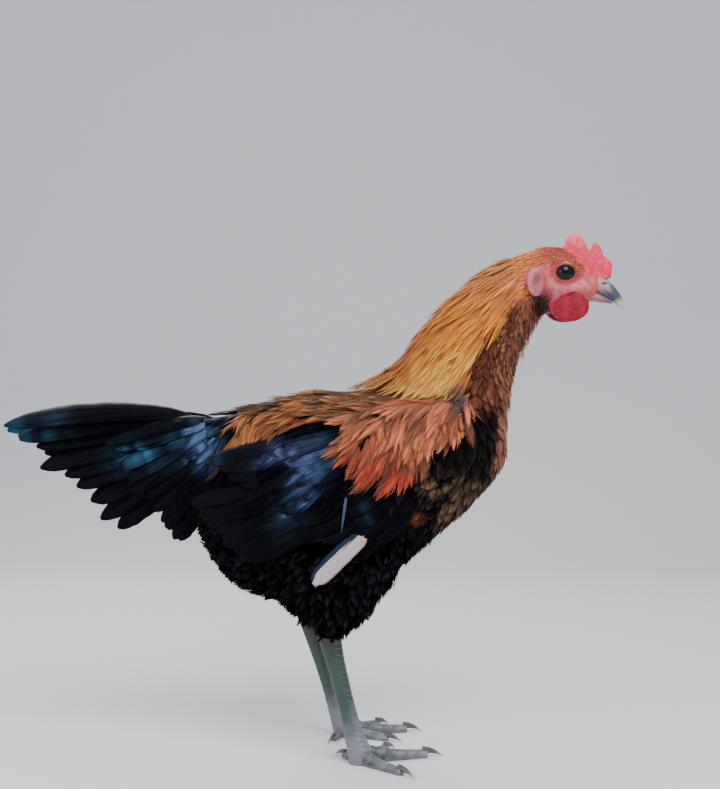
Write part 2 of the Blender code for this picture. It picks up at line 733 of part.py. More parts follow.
def wattle(side):
    """A wattle: a round leaf of soft skin that hangs beside the chin, gently folded."""
    leaf = ellipsoid("wattle", (0, 0, 0), WATTLE_RADII, 18, 8)
    for vertex in leaf.data.vertices:
        fold = math.sin(2 * math.pi * vertex.co.x / 0.022) * (0.4 - vertex.co.z / 0.03)
        vertex.co.y += WATTLE_FOLD * fold
        vertex.co.z *= WATTLE_TOP if vertex.co.z > 0 else 1.0
    leaf.data.transform(Matrix.Rotation(side * math.radians(WATTLE_SPLAY), 4, "X"))
    x, y, z = mirrored(WATTLE_CENTRE, side)
    leaf.data.transform(Matrix.Translation((x, y, z + (WATTLE_RISE if side > 0 else 0.0))))
    return leaf


def earlobe(side):
    """An earlobe: an oval pad with a raised rim and a cupped middle."""
    pad = ellipsoid("lobe", mirrored(LOBE_CENTRE, side), LOBE_RADII, 14, 8)
    x, y, z = mirrored(LOBE_CENTRE, side)
    cup = ellipsoid("cup", (x + 0.0005, y + side * (LOBE_RADII[1] + 0.0002), z - 0.0005), LOBE_CUP, 10, 6)
    boolean(pad, [cup], "DIFFERENCE")
    bpy.data.objects.remove(cup)
    return pad


def lid_ring(centre, side):
    """The rim of the eyelids, an oval ring that lies on the eye."""
    bpy.ops.mesh.primitive_torus_add(
        major_segments=14, minor_segments=5, major_radius=1.0, minor_radius=LID_RADIUS / LID_SLIT[0]
    )
    ring = bpy.context.active_object
    ring.name = "lids"
    ring.scale = (LID_SLIT[0], LID_SLIT[1], LID_SLIT[0])
    ring.rotation_euler = (math.radians(90), 0, 0)
    depth = math.sqrt(EYE_RADIUS**2 - (0.5 * (LID_SLIT[0] + LID_SLIT[1])) ** 2)
    ring.location = centre + Vector((0, side * (depth + 0.0002), 0))
    return as_mesh_object(ring)


def side_of_head(head, x, z):
    """How far from the middle the head's surface is at x and z."""
    near = []
    for i in range(60):
        for k in range(60):
            point = head.skin(1 + 3 * i / 59, math.pi * (0.1 + 0.8 * k / 59))
            near.append((math.hypot(point.x - x, point.z - z), point.y))
    return min(near)[1]


def head_and_eyes(head, face, eye_finish):
    """The head with its sockets and lids, and the two eyes in them."""
    half = side_of_head(head, *EYE_CENTRE)
    rings, sockets = [], []
    for side, label in ((-1, "right"), (1, "left")):
        centre = Vector((EYE_CENTRE[0], side * (half + EYE_OUT - EYE_RADIUS), EYE_CENTRE[1]))
        rings.append(lid_ring(centre, side))
        sockets.append(ellipsoid("socket", centre, (EYE_RADIUS + 1.6 * GAP,) * 3, 14, 8))
        node("eye_" + label, [ellipsoid("eye", centre, (EYE_RADIUS,) * 3, 12, 7)], eye_finish)
    node("head", [head.solid("head", 11, 16), *rings], face, sockets)
    for socket in sockets:
        bpy.data.objects.remove(socket)


def upper_beak(form):
    """The upper beak, with its nostrils sunk in it."""
    whole = form.solid("beak_upper", 9, 12)
    pits = []
    for side in (-1, 1):
        centre = (NOSTRIL[0], side * 0.0062, NOSTRIL[1])
        pits.append(ellipsoid("nostril", centre, NOSTRIL_RADII, 8, 4))
    boolean(whole, pits, "DIFFERENCE")
    for pit in pits:
        bpy.data.objects.remove(pit)
    return whole


def clear_scene():
    """Removes what the scene holds and adds the bird's own collection."""
    for obj in list(bpy.data.objects):
        bpy.data.objects.remove(obj)
    bpy.context.scene.collection.children.link(bpy.data.collections.new(BIRD))


def main():
    """Builds every part of the bird."""
    clear_scene()
    chance = random.Random(7)
    black = material("black_plumage", (0.012, 0.012, 0.016), 0.45)
    gold = material("golden_hackle", (0.62, 0.28, 0.06), 0.6)
    rust = material("rust_plumage", (0.50, 0.16, 0.07), 0.6)
    blood = material("comb_skin", (0.60, 0.05, 0.07), 0.5)
    face = material("face_skin", (0.66, 0.32, 0.30), 0.55)
    horn = material("beak_horn", (0.26, 0.25, 0.24), 0.35)
    scale = material("leg_scales", (0.12, 0.17, 0.14), 0.5)
    dark = material("eye", (0.01, 0.01, 0.012), 0.08)

    torso = Form(
        [(x, top, x, bottom, half) for x, top, bottom, half in TORSO_SECTIONS], fullness=TORSO_FULLNESS
    )
    neck, head = Form(NECK_SECTIONS), Form(HEAD_SECTIONS)
    upper = Form(UPPER_BEAK_SECTIONS)
    torso_cut = torso.solid("torso_cut", 14, 18, grow=GAP)
    head_cut = head.solid("head_cut", 11, 16, grow=GAP)
    neck_cut = neck.solid("neck_cut", 12, 16, grow=GAP)
    upper_cut = upper.solid("upper_cut", 9, 12, grow=GAP)

    node("torso", [torso.solid("torso", 14, 18), *saddle(torso, chance)], rust)
    node("neck", [neck.solid("neck", 12, 16), *hackle(neck, torso, chance)], gold, [torso_cut, head_cut])
    head_and_eyes(head, face, dark)
    node("beak_upper", [upper_beak(upper)], horn, [head_cut])
    node("beak_lower", [Form(LOWER_BEAK_SECTIONS).solid("beak_lower", 6, 10)], horn, [head_cut, upper_cut])
    node("comb", [comb()], blood, [head_cut, upper_cut])
    node("tail", tail(chance), black, [torso_cut])

    for side, label in ((-1, "right"), (1, "left")):
        shift, lean, headings = STANCES[label]
        node("wattle_" + label, [wattle(side)], blood, [head_cut, upper_cut])
        node("earlobe_" + label, [earlobe(side)], face, [head_cut, neck_cut])
        node("wing_" + label, wing(torso, side, chance), black, [torso_cut, neck_cut])
        thigh = Form(THIGH_SECTIONS, side, shift=0.8 * shift, lean=lean)
        node("thigh_" + label, [thigh.solid("thigh", 10, 14)], black, [torso_cut])
        shank = Form([(*row, STANCE) for row in SHANK_SECTIONS], side, shift=shift, lean=lean)
        node("shank_" + label, [plated(shank, "shank", SCUTES_ON_SHANK, SCUTE_STEP, 10)], scale)
        foot(side, label, shift, lean, headings, scale, horn)
    for cutter in (torso_cut, head_cut, neck_cut, upper_cut):
        bpy.data.objects.remove(cutter)


if __name__ == "__main__":
    main()
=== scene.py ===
"""A young gamecock standing at rest: the looks of its skin, plumage, head, legs and stage.

The bird faces +X, its left side is +Y and it stands on Z = 0. Every size is in metres. One skin
lies under the coat; every feather is a thin closed leaf or strand that is combed along that skin.
"""

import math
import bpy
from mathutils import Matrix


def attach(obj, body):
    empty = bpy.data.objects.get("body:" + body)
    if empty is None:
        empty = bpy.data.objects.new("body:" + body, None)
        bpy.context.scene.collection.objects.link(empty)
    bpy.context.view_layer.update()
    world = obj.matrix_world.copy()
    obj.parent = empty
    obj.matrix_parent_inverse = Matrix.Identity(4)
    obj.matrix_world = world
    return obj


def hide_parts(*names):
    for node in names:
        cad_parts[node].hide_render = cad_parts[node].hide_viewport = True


bl_info = {
    "name": "Gamecock looks",
    "version": (1, 0, 0),
    "blender": (4, 5, 0),
    "location": "3D View > Sidebar > Gamecock",
    "description": "Skin, plumage, head, legs and stage of a life-size young gamecock",
    "category": "Add Mesh",
}

import bmesh
import bpy
import numpy as np
from bpy.props import FloatProperty, FloatVectorProperty, IntProperty, PointerProperty
from mathutils import Vector
from mathutils.bvhtree import BVHTree

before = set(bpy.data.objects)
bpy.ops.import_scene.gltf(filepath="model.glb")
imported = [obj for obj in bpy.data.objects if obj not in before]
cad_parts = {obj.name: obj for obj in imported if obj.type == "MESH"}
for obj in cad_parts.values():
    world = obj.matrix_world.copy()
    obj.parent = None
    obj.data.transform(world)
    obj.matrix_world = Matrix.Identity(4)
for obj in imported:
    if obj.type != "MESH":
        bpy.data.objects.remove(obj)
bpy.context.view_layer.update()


def metres(*rows):
    """Rows of millimetres as rows of metres."""
    return tuple(tuple(value / 1000 for value in row) for row in rows)


# The sizes below are in metres, but for the tables that metres() turns from millimetres.
MM = 0.001
SIDES = {"right": -1, "left": 1}
# The most triangles for one piece of the coat, and half the size of a leaf's patch on the map.
MOST_TRIANGLES = 200000
HALF_PATCH = 0.0015

# The body, tail end first: place along X, height of the back, height of the belly, half width.
TORSO_SECTIONS = metres(
    (-97, 254, 180, 10), (-91, 267, 164, 19), (-78, 272.5, 144, 28), (-60, 276.5, 127.5, 36),
    (-30, 282, 116.5, 44), (0, 287.5, 115, 48), (35, 292.5, 121, 50), (70, 299, 143, 50.5),
    (100, 303, 167.5, 48), (128, 298, 190.5, 41), (148, 282, 213, 30), (159, 260, 230, 14),
)
TORSO_FULLNESS = 0.10

# The neck, body end first: nape point (x, z), throat point (x, z), half width.
NECK_SECTIONS = metres(
    (56, 276, 144, 223, 43), (65.5, 305, 159, 248, 41.5), (79, 331, 162.5, 270, 36.5),
    (98.5, 354, 166, 289.5, 31), (118.5, 372.5, 170, 308.5, 26), (138.5, 388, 176, 328, 22.5),
    (158, 399.5, 183.5, 343, 19.5), (176, 405, 188.5, 350, 17.5),
)

# The head, from the nape to the root of the beak: upper point, lower point, half width.
HEAD_SECTIONS = metres(
    (176.3, 405, 188.9, 350.1, 17.5), (189, 407.8, 196.5, 352, 17.2), (205, 407, 207.5, 355, 17.6),
    (219, 400, 218.5, 358.5, 15), (230, 390.5, 224.5, 361, 11.2), (236.8, 383.5, 229, 362.5, 8),
)
# The end of the neck and the head as one.
HEAD_ROWS = NECK_SECTIONS[5:7] + HEAD_SECTIONS
UPPER_BEAK_SECTIONS = metres(
    (229, 390, 226, 369, 8), (237.1, 383.2, 230.5, 370.2, 7.6), (244, 379, 238, 367.6, 6.6),
    (250, 372.8, 244.2, 364.2, 5), (254.5, 365.5, 250, 359.8, 3), (256.6, 357.2, 254.8, 355.4, 0.9),
)
LOWER_BEAK_SECTIONS = metres(
    (223, 370.5, 222, 363.2, 6.8), (230.2, 370, 229.2, 362.8, 6.6), (236.6, 368, 235.8, 361.8, 5.8),
    (242, 365.6, 241.6, 361.2, 4.2), (246.4, 362.8, 246, 360.6, 1.4),
)
EYE_CENTRE = (0.2048, 0.3852)
EYE_RADIUS = 0.0084
EYE_OUT = 0.0023
LID_RADIUS = 0.0011
LID_SLIT = (0.0070, 0.0058)
NOSTRIL = (0.2390, 0.3768)

# The comb's edge (x, z), from the back of its root over its three points to the beak.
COMB_EDGE = metres(
    (206.2, 403), (207.6, 411), (210.6, 417.2), (215, 420.5), (219.6, 419.6), (223.4, 414.6),
    (226.4, 407.8), (228.6, 405.4), (230.8, 410), (233.4, 413.6), (236.2, 410), (238.6, 404),
    (240.2, 400), (243, 398.2), (246.4, 394.5), (246.2, 387.2), (243.6, 381.8), (230, 380),
)
COMB_HEART = (0.2270, 0.3950)
WATTLE_CENTRE = (0.2082, 0.0128, 0.3576)
WATTLE_RADII = (0.0166, 0.0026, 0.0136)

# The wattle's straight upper edge, as a share of its round one, and how much higher the left one hangs.
WATTLE_TOP = 0.78
WATTLE_RISE = 0.0030
LOBE_CENTRE = (0.1802, 0.0186, 0.3758)
LOBE_RADII = (0.0072, 0.0034, 0.0117)

# The feathered leg, body end first: back point (x, z), front point (x, z), half width, distance out.
THIGH_SECTIONS = metres(
    (-30, 165, 76, 200, 17, 29), (-26, 142, 79.5, 168, 18, 30.5), (-19, 124, 71, 144, 17.2, 33.5),
    (-11, 112, 55.5, 123, 15, 37), (-4, 105, 43, 109, 12.8, 40), (2, 100, 31.5, 99.5, 10.4, 42),
    (6, 96.5, 24, 94.5, 8.8, 42.8),
)

# The bare leg, from hock to toes: back point (x, z), front point (x, z), half width.
SHANK_SECTIONS = metres(
    (5.4, 96, 23.6, 94, 7.4), (10, 82, 25.6, 80, 6.2), (16.2, 62, 30.2, 59, 5.5),
    (21.4, 43, 35.2, 39.5, 5.6), (25, 27, 40.2, 23.5, 6.4),
)
ANKLE_SECTIONS = metres(
    (25.1, 26.7, 40.3, 23.2, 6.4), (26.4, 19, 44, 16, 7.8), (28, 10, 47.5, 9, 9.2), (30, 0, 46, 0, 7.8),
)
STANCE = 0.0435
FOOT_CENTRE = 0.0365

# Each foot: how far its leg is set back, how much more at each metre of height, and its toes'
# headings from straight ahead, inwards positive.
STANCES = {
    "right": (0.0, 0.0, {"inner": 58.0, "middle": 18.0, "outer": -46.0, "hind": 122.0}),
    "left": (-0.0135, -0.060, {"inner": 26.0, "middle": -13.0, "outer": -48.0, "hind": 110.0}),
}

# Each toe: length, radius, plates along it.
TOES = {
    "inner": (0.042, 0.0046, 9),
    "middle": (0.056, 0.0052, 13),
    "outer": (0.046, 0.0046, 11),
    "hind": (0.020, 0.0040, 5),
}
CLAW_LENGTH = 0.0130

# The flank behind this place runs straight, so that a folded wing lies flat on it.
REAR_OF_FLANK = -0.030
WING_TAPER = 0.20

# The folded wing's arm seen from the side, front first: x, upper z, lower z.
WING_ARM = metres(
    (134, 256, 250), (126, 270.5, 230), (100, 273, 206), (60, 272, 188), (20, 267, 182),
    (-15, 256, 185), (-42, 236, 206),
)

# The wing's quills and coverts, lowest tier first: how many, first root, last root, first tip,
# last tip (x, z), width, how far out the tier lies.
WING_TIERS = (
    (9, (0.020, 0.190), (-0.010, 0.216), (-0.058, 0.158), (-0.094, 0.200), 0.0185, 0.0010),
    (13, (0.062, 0.194), (0.018, 0.258), (0.030, 0.158), (-0.084, 0.232), 0.0185, 0.0024),
    (11, (0.082, 0.206), (0.040, 0.262), (0.052, 0.170), (-0.030, 0.236), 0.0165, 0.0038),
)

# The quill that has moulted white, on the right wing: root and tip (x, z), width.
PALE_QUILL = ((0.0440, 0.1768), (0.0025, 0.1365), 0.0128)
# A dark leaf along the white quill's upper edge, as painted shadow: root and tip (x, z), width.
WHITE_QUILL_SHADOW = ((0.0410, 0.1790), (0.0005, 0.1400), 0.0110)

# The pale edge of a covert above it.
PALE_EDGE = ((0.0285, 0.2125), (0.0234, 0.1750), 0.0024)

# Blue highlights painted on the black plumage: place (x, z), reach along and across the streak, how
# strongly, how green, and how steeply the streak rises towards the head, in degrees.
GLINTS = (
    (-0.233, 0.257, 0.018, 0.005, 0.6, 0.9, 0), (-0.143, 0.236, 0.018, 0.009, 0.8, 0.6, 0),
    (-0.11, 0.248, 0.009, 0.008, 0.5, 0.4, 0), (-0.208, 0.265, 0.012, 0.004, 0.45, 0.3, 0),
    (-0.089, 0.248, 0.011, 0.015, 2.4, 0.2, 0), (-0.0229, 0.2357, 0.015, 0.0052, 2.2, 0, 10),
    (-0.0026, 0.2415, 0.018, 0.007, 0.5, 0.1, 15), (-0.0065, 0.224, 0.018, 0.005, 1.05, 0.1, 46),
    (0.0083, 0.2271, 0.022, 0.0055, 0.6, 0.2, 52), (-0.0127, 0.1967, 0.018, 0.0075, 0.42, 0.3, 45),
    (0.042, 0.193, 0.005, 0.012, 0.15, 0.3, 0),
)

# Tail feathers on each side, uppermost first: root (x, z), heading above the level, length, width,
# bend down at the tip, distance out of the root and of the tip, lean of the vane from upright.
TAIL_FEATHERS = (
    (-0.100, 0.2675, 6.5, 0.1560, 0.0230, 0.0300, 0.0078, 0.0080, 30.0),
    (-0.098, 0.2640, 0.5, 0.1450, 0.0240, 0.0190, 0.0070, 0.0068, 24.0),
    (-0.098, 0.2590, -5.5, 0.1330, 0.0240, 0.0120, 0.0060, 0.0056, 18.0),
    (-0.097, 0.2530, -11.5, 0.1210, 0.0240, 0.0100, 0.0050, 0.0045, 14.0),
    (-0.096, 0.2455, -18.0, 0.1090, 0.0230, 0.0080, 0.0040, 0.0034, 10.0),
    (-0.094, 0.2375, -25.0, 0.0950, 0.0220, 0.0060, 0.0030, 0.0023, 8.0),
    (-0.092, 0.2290, -33.0, 0.0830, 0.0210, 0.0040, 0.0020, 0.0013, 6.0),
)
TAIL_COVERTS = (
    (-0.088, 0.2650, -2.0, 0.0800, 0.0210, 0.0130, 0.0150, 0.0125, 36.0),
    (-0.086, 0.2550, -12.0, 0.0750, 0.0210, 0.0120, 0.0168, 0.0112, 20.0),
    (-0.085, 0.2430, -23.0, 0.0680, 0.0210, 0.0100, 0.0170, 0.0100, 12.0),
    (-0.084, 0.2300, -34.0, 0.0600, 0.0200, 0.0080, 0.0168, 0.0090, 6.0),
    (-0.083, 0.2170, -44.0, 0.0540, 0.0190, 0.0060, 0.0152, 0.0080, 4.0),
    (-0.084, 0.2040, -52.0, 0.0440, 0.0180, 0.0040, 0.0120, 0.0060, 4.0),
)
TAIL_SECTIONS = metres(
    (-86, 271, -86, 188, 19), (-105, 273.5, -101, 190, 15), (-125, 273, -120, 208, 10.5),
    (-150, 269, -146, 232, 5),
)

# Which way the coat lies, seen from the side: a place (x, z) and the heading of the tips there.
LIE = (
    (0.222, 0.398, -1, 0.35), (0.2, 0.405, -1, -0.05), (0.176, 0.398, -1, -0.45),
    (0.15, 0.378, -0.8, -0.62), (0.12, 0.35, -0.66, -0.75), (0.095, 0.315, -0.55, -0.83),
    (0.085, 0.285, -0.55, -0.83), (0.176, 0.34, -0.42, -0.9), (0.146, 0.335, -0.64, -0.77),
    (0.126, 0.305, -0.6, -0.8), (0.16, 0.29, -0.18, -0.98), (0.152, 0.24, -0.42, -0.9),
    (0.118, 0.19, -0.8, -0.6), (0.085, 0.15, -0.75, -0.65), (0.055, 0.292, -0.97, -0.25),
    (0, 0.28, -1, -0.12), (-0.045, 0.272, -0.97, -0.22), (-0.05, 0.258, -0.46, -0.89),
    (-0.058, 0.24, -0.3, -0.95), (-0.085, 0.262, -0.95, -0.3), (0.1, 0.25, -0.4, -0.92),
    (0.06, 0.24, -0.36, -0.93), (0.03, 0.215, -0.7, -0.71), (-0.02, 0.22, -0.85, -0.52),
    (-0.06, 0.2, -0.9, -0.43), (-0.09, 0.19, -0.93, -0.35), (0.045, 0.165, -0.5, -0.86),
    (0.015, 0.11, -0.05, -1), (-0.02, 0.13, -0.7, -0.71), (-0.06, 0.145, -0.9, -0.42),
)

# The hem of the orange cape, back and saddle over the black of the wing: x and height.
HEM = metres(
    (-100, 262), (-80, 250), (-72, 226), (-60, 222), (-48, 236), (-36, 248), (-28, 262), (-14, 262),
    (0, 254), (13, 255), (18, 230), (33, 217), (43, 226), (53, 203), (61, 213), (69, 205), (80, 223),
    (86, 222), (95, 231), (106, 236), (117, 241), (124, 258), (140, 275),
)

# The front edge of the golden hackle on the neck: height and x.
HACKLE_EDGE = metres(
    (270, 100), (279, 106), (295, 119), (323, 131), (351.5, 151), (360, 168), (365.8, 178), (375, 184),
    (400, 190),
)
# The upper edge of the belly's fluff, lowest where the folded wing covers it: x and height.
FLUFF_EDGE = metres((-56, 240), (-46, 184), (-30, 168), (30, 168), (58, 180), (82, 240))
# Single marks on the plumage: place (x, z), reach along and up, colour, how strongly.
SPOTS = (
    (0.1850, 0.3565, 0.0080, 0.0085, "#0A080B", 0.95),
    (0.1350, 0.2420, 0.0120, 0.0185, "#14120E", 0.66),
    (0.1151, 0.2800, 0.0098, 0.0140, "#1E1830", 0.92),
    (0.0800, 0.1865, 0.0080, 0.0045, "#94603E", 0.85),
)
DIAMOND = ((-1.0, 0.0), (0.0, 1.0), (1.0, 0.0), (0.0, -1.0))
STRAND = ((-1.0, -0.4), (0.0, 1.0), (1.0, -0.4))
BROAD_VANE = (
    (-1, 0), (-0.72, 0.8), (-0.42, 0.9), (-0.14, 1), (0, 2.2), (0.14, 1), (0.42, 0.9), (0.72, 0.8),
    (1, 0), (0.72, -0.8), (0.42, -0.9), (0.14, -1), (0, -2), (-0.14, -1), (-0.42, -0.9), (-0.72, -0.8),
)

# How a feather's width runs from root to tip.
LANCE = ((0.0, 0.40), (0.20, 0.85), (0.45, 1.0), (0.70, 0.72), (0.88, 0.38), (1.0, 0.05))
OVAL = ((0.0, 0.40), (0.25, 0.88), (0.55, 1.0), (0.80, 0.86), (0.93, 0.52), (1.0, 0.10))
STUB = ((0.0, 0.80), (0.10, 1.0), (0.80, 1.0), (0.90, 0.86), (0.94, 0.48), (1.0, 0.34))
QUILL = ((0.0, 0.30), (0.12, 0.72), (0.35, 0.96), (0.65, 1.0), (0.85, 0.86), (0.95, 0.56), (1.0, 0.14))


def linear(hex_colour):
    """The linear colour of an sRGB hex value."""
    parts = [int(hex_colour[i : i + 2], 16) / 255 for i in (1, 3, 5)]
    return tuple(c / 12.92 if c <= 0.04045 else ((c + 0.055) / 1.055) ** 2.4 for c in parts)


def number_setting(name, default, description, **kind):
    """A number that the user may change."""
    return FloatProperty(name=name, description=description, default=default, **kind)


def length_setting(name, default, description):
    """A length that the user may change."""
    return number_setting(name, default, description, min=0.0, unit="LENGTH")


def colour_setting(name, hex_colour, description):
    """A colour that the user may change."""
    return FloatVectorProperty(
        name=name, description=description, default=linear(hex_colour), subtype="COLOR", min=0.0, max=1.0
    )


class GamecockCoat(bpy.types.PropertyGroup):
    """Lengths of the coat."""

    hackle: length_setting("Hackle", 0.050, "Length of the long feathers of the neck")
    cape: length_setting("Cape", 0.030, "Length of the feathers of the shoulders and back")
    saddle: length_setting("Saddle", 0.046, "Length of the feathers that hang over the rump")
    breast: length_setting("Breast", 0.021, "Length of the feathers of the breast")
    throat: length_setting("Throat", 0.0098, "Length of the feathers down the front of the neck")
    fluff: length_setting("Fluff", 0.016, "Length of the soft feathers of belly and thighs")
    crown: length_setting("Crown", 0.0042, "Length of the feathers of the head")
    depth: length_setting("Coat depth", 0.0055, "How deep the coat stands on the body's skin")
    seed: IntProperty(name="Seed", description="Start of every random draw", default=7, min=0)


class GamecockPlumage(bpy.types.PropertyGroup):
    """Colours of the plumage."""

    gold: colour_setting("Hackle gold", "#D8680E", "Middle of the hackle feathers")
    gold_tip: colour_setting("Hackle tip", "#F59A22", "Tips of the hackle feathers")
    nape: colour_setting("Nape", "#D07840", "Short hackle behind the head")
    throat: colour_setting("Throat", "#643024", "Front of the neck")
    cape: colour_setting("Cape", "#D2724A", "Shoulder feathers")
    fringe: colour_setting("Fringe", "#A82E18", "Lowest shoulder feathers")
    back: colour_setting("Back", "#B0622C", "Back feathers")
    saddle: colour_setting("Saddle", "#BA6A30", "Feathers hanging over the rump")
    breast: colour_setting("Breast", "#634A38", "Mottled feathers of the lower breast")
    brown: colour_setting("Dark brown", "#341A14", "Dark middles of the orange feathers")
    black: colour_setting("Black", "#060507", "Belly, thighs and wings")
    gloss: colour_setting("Gloss", "#4E5A84", "Blue gloss of wing and tail")
    teal: colour_setting("Teal gloss", "#34809E", "Greener gloss of the tail's top")
    white: colour_setting("White", "#B9AAA6", "The white quill")
    crown: colour_setting("Crown", "#A8503C", "Short feathers of the head")


class GamecockFlesh(bpy.types.PropertyGroup):
    """Colours of bare skin and horn."""

    comb: colour_setting("Comb", "#D42C4C", "Comb")
    comb_tip: colour_setting("Comb tips", "#F4687E", "Points of the comb")
    wattle: colour_setting("Wattle", "#8E0626", "Wattles")
    face: colour_setting("Face", "#B84640", "Bare face")
    pale_face: colour_setting("Pale face", "#C8666C", "Cheek and lore")
    lobe: colour_setting("Earlobe", "#B87480", "Rim of the earlobe")
    lobe_cup: colour_setting("Earlobe cup", "#8A4058", "Middle of the earlobe")
    eye: colour_setting("Eye", "#050C1C", "Iris")
    beak: colour_setting("Beak", "#88868E", "Side of the beak")
    beak_dark: colour_setting("Beak hook", "#3A3D4E", "Hook and edge of the beak")
    beak_tip: colour_setting("Beak tip", "#B5A493", "Tip and lower half of the beak")
    leg: colour_setting("Upper leg", "#1F3221", "Scales under the hock")
    foot: colour_setting("Lower leg", "#74727E", "Scales towards the toes")
    toe: colour_setting("Toes", "#233A34", "Scales of the toes")
    claw: colour_setting("Claw", "#4C4748", "Claws")


class GamecockStage(bpy.types.PropertyGroup):
    """Floor, light and camera."""

    floor: colour_setting("Floor", "#D9DADD", "Painted floor and wall")
    key: number_setting("Key light", 40.0, "Power of the large light", min=0.0, unit="POWER")
    fill: number_setting("Fill light", 16.0, "Power of the side light", min=0.0, unit="POWER")
    sky: number_setting("Room light", 0.80, "Strength of the light from all round", min=0.0)
    lens: number_setting("Lens", 50.08, "Focal length", min=1.0, unit="CAMERA")
    distance: length_setting("Camera distance", 0.90, "From the bird's middle plane to the camera")
    height: length_setting("Camera height", 0.2271, "From the floor to the camera")
    along: number_setting("Camera place", 0.0379, "Camera along the bird", unit="LENGTH")
    pitch: number_setting("Pitch", math.radians(3.73), "Upward tilt", subtype="ANGLE")


def smoothstep(low, high, value):
    """0 below low, 1 above high and a smooth rise between."""
    t = np.clip((value - low) / (high - low), 0.0, 1.0)
    return t * t * (3 - 2 * t)


def falling(low, high, value):
    """1 below low, 0 above high and a smooth fall between."""
    return 1 - smoothstep(low, high, value)


def side_view(points):
    """The places' x and z, as they show from the side of the bird."""
    return points[..., 0], points[..., 2]


def unit(vectors):
    """The vectors with a length of one."""
    return vectors / np.maximum(np.linalg.norm(vectors, axis=-1, keepdims=True), 1e-12)


def ripple(points, size, seed):
    """A smooth uneven value between about -1 and 1 at each point, with swells about size apart."""
    draw = np.random.default_rng(seed)
    total = np.zeros(points.shape[:-1])
    for _ in range(7):
        heading = unit(draw.normal(size=3)) * 2 * math.pi / (size * draw.uniform(0.7, 1.5))
        total += np.sin(points @ heading + draw.uniform(0, 2 * math.pi))
    return total / 3.0


def mixed(a, b, share):
    """The colours a, moved towards the colours b by share."""
    a, b = np.asarray(a, float), np.asarray(b, float)
    share = np.asarray(share, float)[..., None]
    return a + (b - a) * share


def layered(colour, *layers):
    """The colours with layers laid over them in turn, each a colour and its share."""
    for tone, share in layers:
        colour = mixed(colour, linear(tone) if isinstance(tone, str) else tone, share)
    return colour


def smooth_rows(rows, s):
    """The rows of numbers at each s along a table, on smooth curves through them."""
    rows = np.asarray(rows, float)
    last = len(rows) - 1
    i = np.clip(np.asarray(s, float).astype(int), 0, last - 1)
    t = (s - i)[..., None]
    a, b, c, d = (rows[np.clip(i + k, 0, last)] for k in (-1, 0, 1, 2))
    return 0.5 * (2 * b + (c - a) * t + (2 * a - 5 * b + 4 * c - d) * t**2 + (3 * b - a - 3 * c + d) * t**3)


def along_table(table, value):
    """The second column of a table at each value of the first."""
    table = np.array(table)
    return np.interp(value, table[:, 0], table[:, 1])


def oval(x, z, middle, reach):
    """How far each place is from the middle of an oval, 1 on its edge."""
    return np.hypot((x - middle[0]) / reach[0], (z - middle[1]) / reach[1])


def soft_oval(x, z, middle, reach, fade=2):
    """A share that is 1 in the middle of an oval and falls away past its edge, faster for a higher fade."""
    return np.exp(-(oval(x, z, middle, reach) ** fade))


def ring_grid(last, count, sides, turn=0.0):
    """Even places along a form up to last and even angles round it, the first turned by a share of a step."""
    angles = (np.arange(sides) + turn) * 2 * math.pi / sides
    return np.meshgrid(np.linspace(0, last, count), angles, indexing="ij")


class Form:
    """A part of the body through oval sections, each from an upper to a lower point with a half width."""

    def __init__(self, sections, side=0, fullness=0.0, shift=0.0, lean=0.0):
        self.rows = np.array([(*row[:5], side * (row[5] if len(row) > 5 else 0.0)) for row in sections])
        self.rows[:, (0, 2)] += shift
        self.rows[:, (0, 2)] += lean * self.rows[:, (1, 3)]
        self.last = len(self.rows) - 1
        self.fullness = fullness

    def section(self, s):
        """The middles, the arms to the upper points and the half widths of the sections at s."""
        ux, uz, lx, lz, half, y = np.moveaxis(smooth_rows(self.rows, s), -1, 0)
        upper, lower = np.stack([ux, y, uz], -1), np.stack([lx, y, lz], -1)
        return (upper + lower) / 2, (upper - lower) / 2, half

    def skin(self, s, angle):
        """The points of the surface at s, angle round from the upper point towards +Y."""
        middle, arm, half = self.section(s)
        across = half * np.sin(angle) * (1 + self.fullness * np.cos(angle))
        place = middle + arm * np.cos(angle)[..., None]
        place[..., 1] += across
        return place

    def at(self, s, angle, lift):
        """The points that stand out of the surface by lift, and the outward directions there."""
        step = 0.02
        t = np.clip(s, step, self.last - step)
        along = self.skin(t + step, angle) - self.skin(t - step, angle)
        around = self.skin(s, angle + step) - self.skin(s, angle - step)
        out = unit(np.cross(along, around))
        away = self.skin(s, angle) - self.section(s)[0]
        out *= np.where((out * away).sum(-1, keepdims=True) < 0, -1.0, 1.0)
        return self.skin(s, angle) + out * np.asarray(lift)[..., None], out

    def rings(self, count, sides, lift):
        """Rings of points along the form; lift is a number or a function of s and angle."""
        s, angle = ring_grid(self.last, count, sides)
        raised = lift(s, angle) if callable(lift) else np.full(s.shape, lift)
        return self.at(s, angle, raised)[0]

    def rolled_out(self, points):
        """Each point's place on the form's skin rolled out flat, both ways from 0 to 1."""
        s = np.linspace(0, self.last, 160)
        middle, arm, half = self.section(s)
        best = np.array([((middle - point) ** 2).sum(1).argmin() for point in points])
        off = points - middle[best]
        up = (off * arm[best]).sum(1) / (arm[best] ** 2).sum(1)
        angle = np.arctan2(off[:, 1] / half[best], up)
        return np.stack([0.02 + 0.96 * s[best] / self.last, 0.5 + 0.96 * angle / (2 * math.pi)], -1)


def torso_form():
    """The trunk as a form."""
    rows = [(x, top, x, bottom, half) for x, top, bottom, half in TORSO_SECTIONS]
    return Form(rows, fullness=TORSO_FULLNESS)


def tube_quads(count, sides):
    """The corners of the four-sided faces between count rings of points."""
    i, k = np.meshgrid(np.arange(count - 1), np.arange(sides), indexing="ij")
    a, b = i * sides + k, i * sides + (k + 1) % sides
    return np.stack([a, b, b + sides, a + sides], -1)


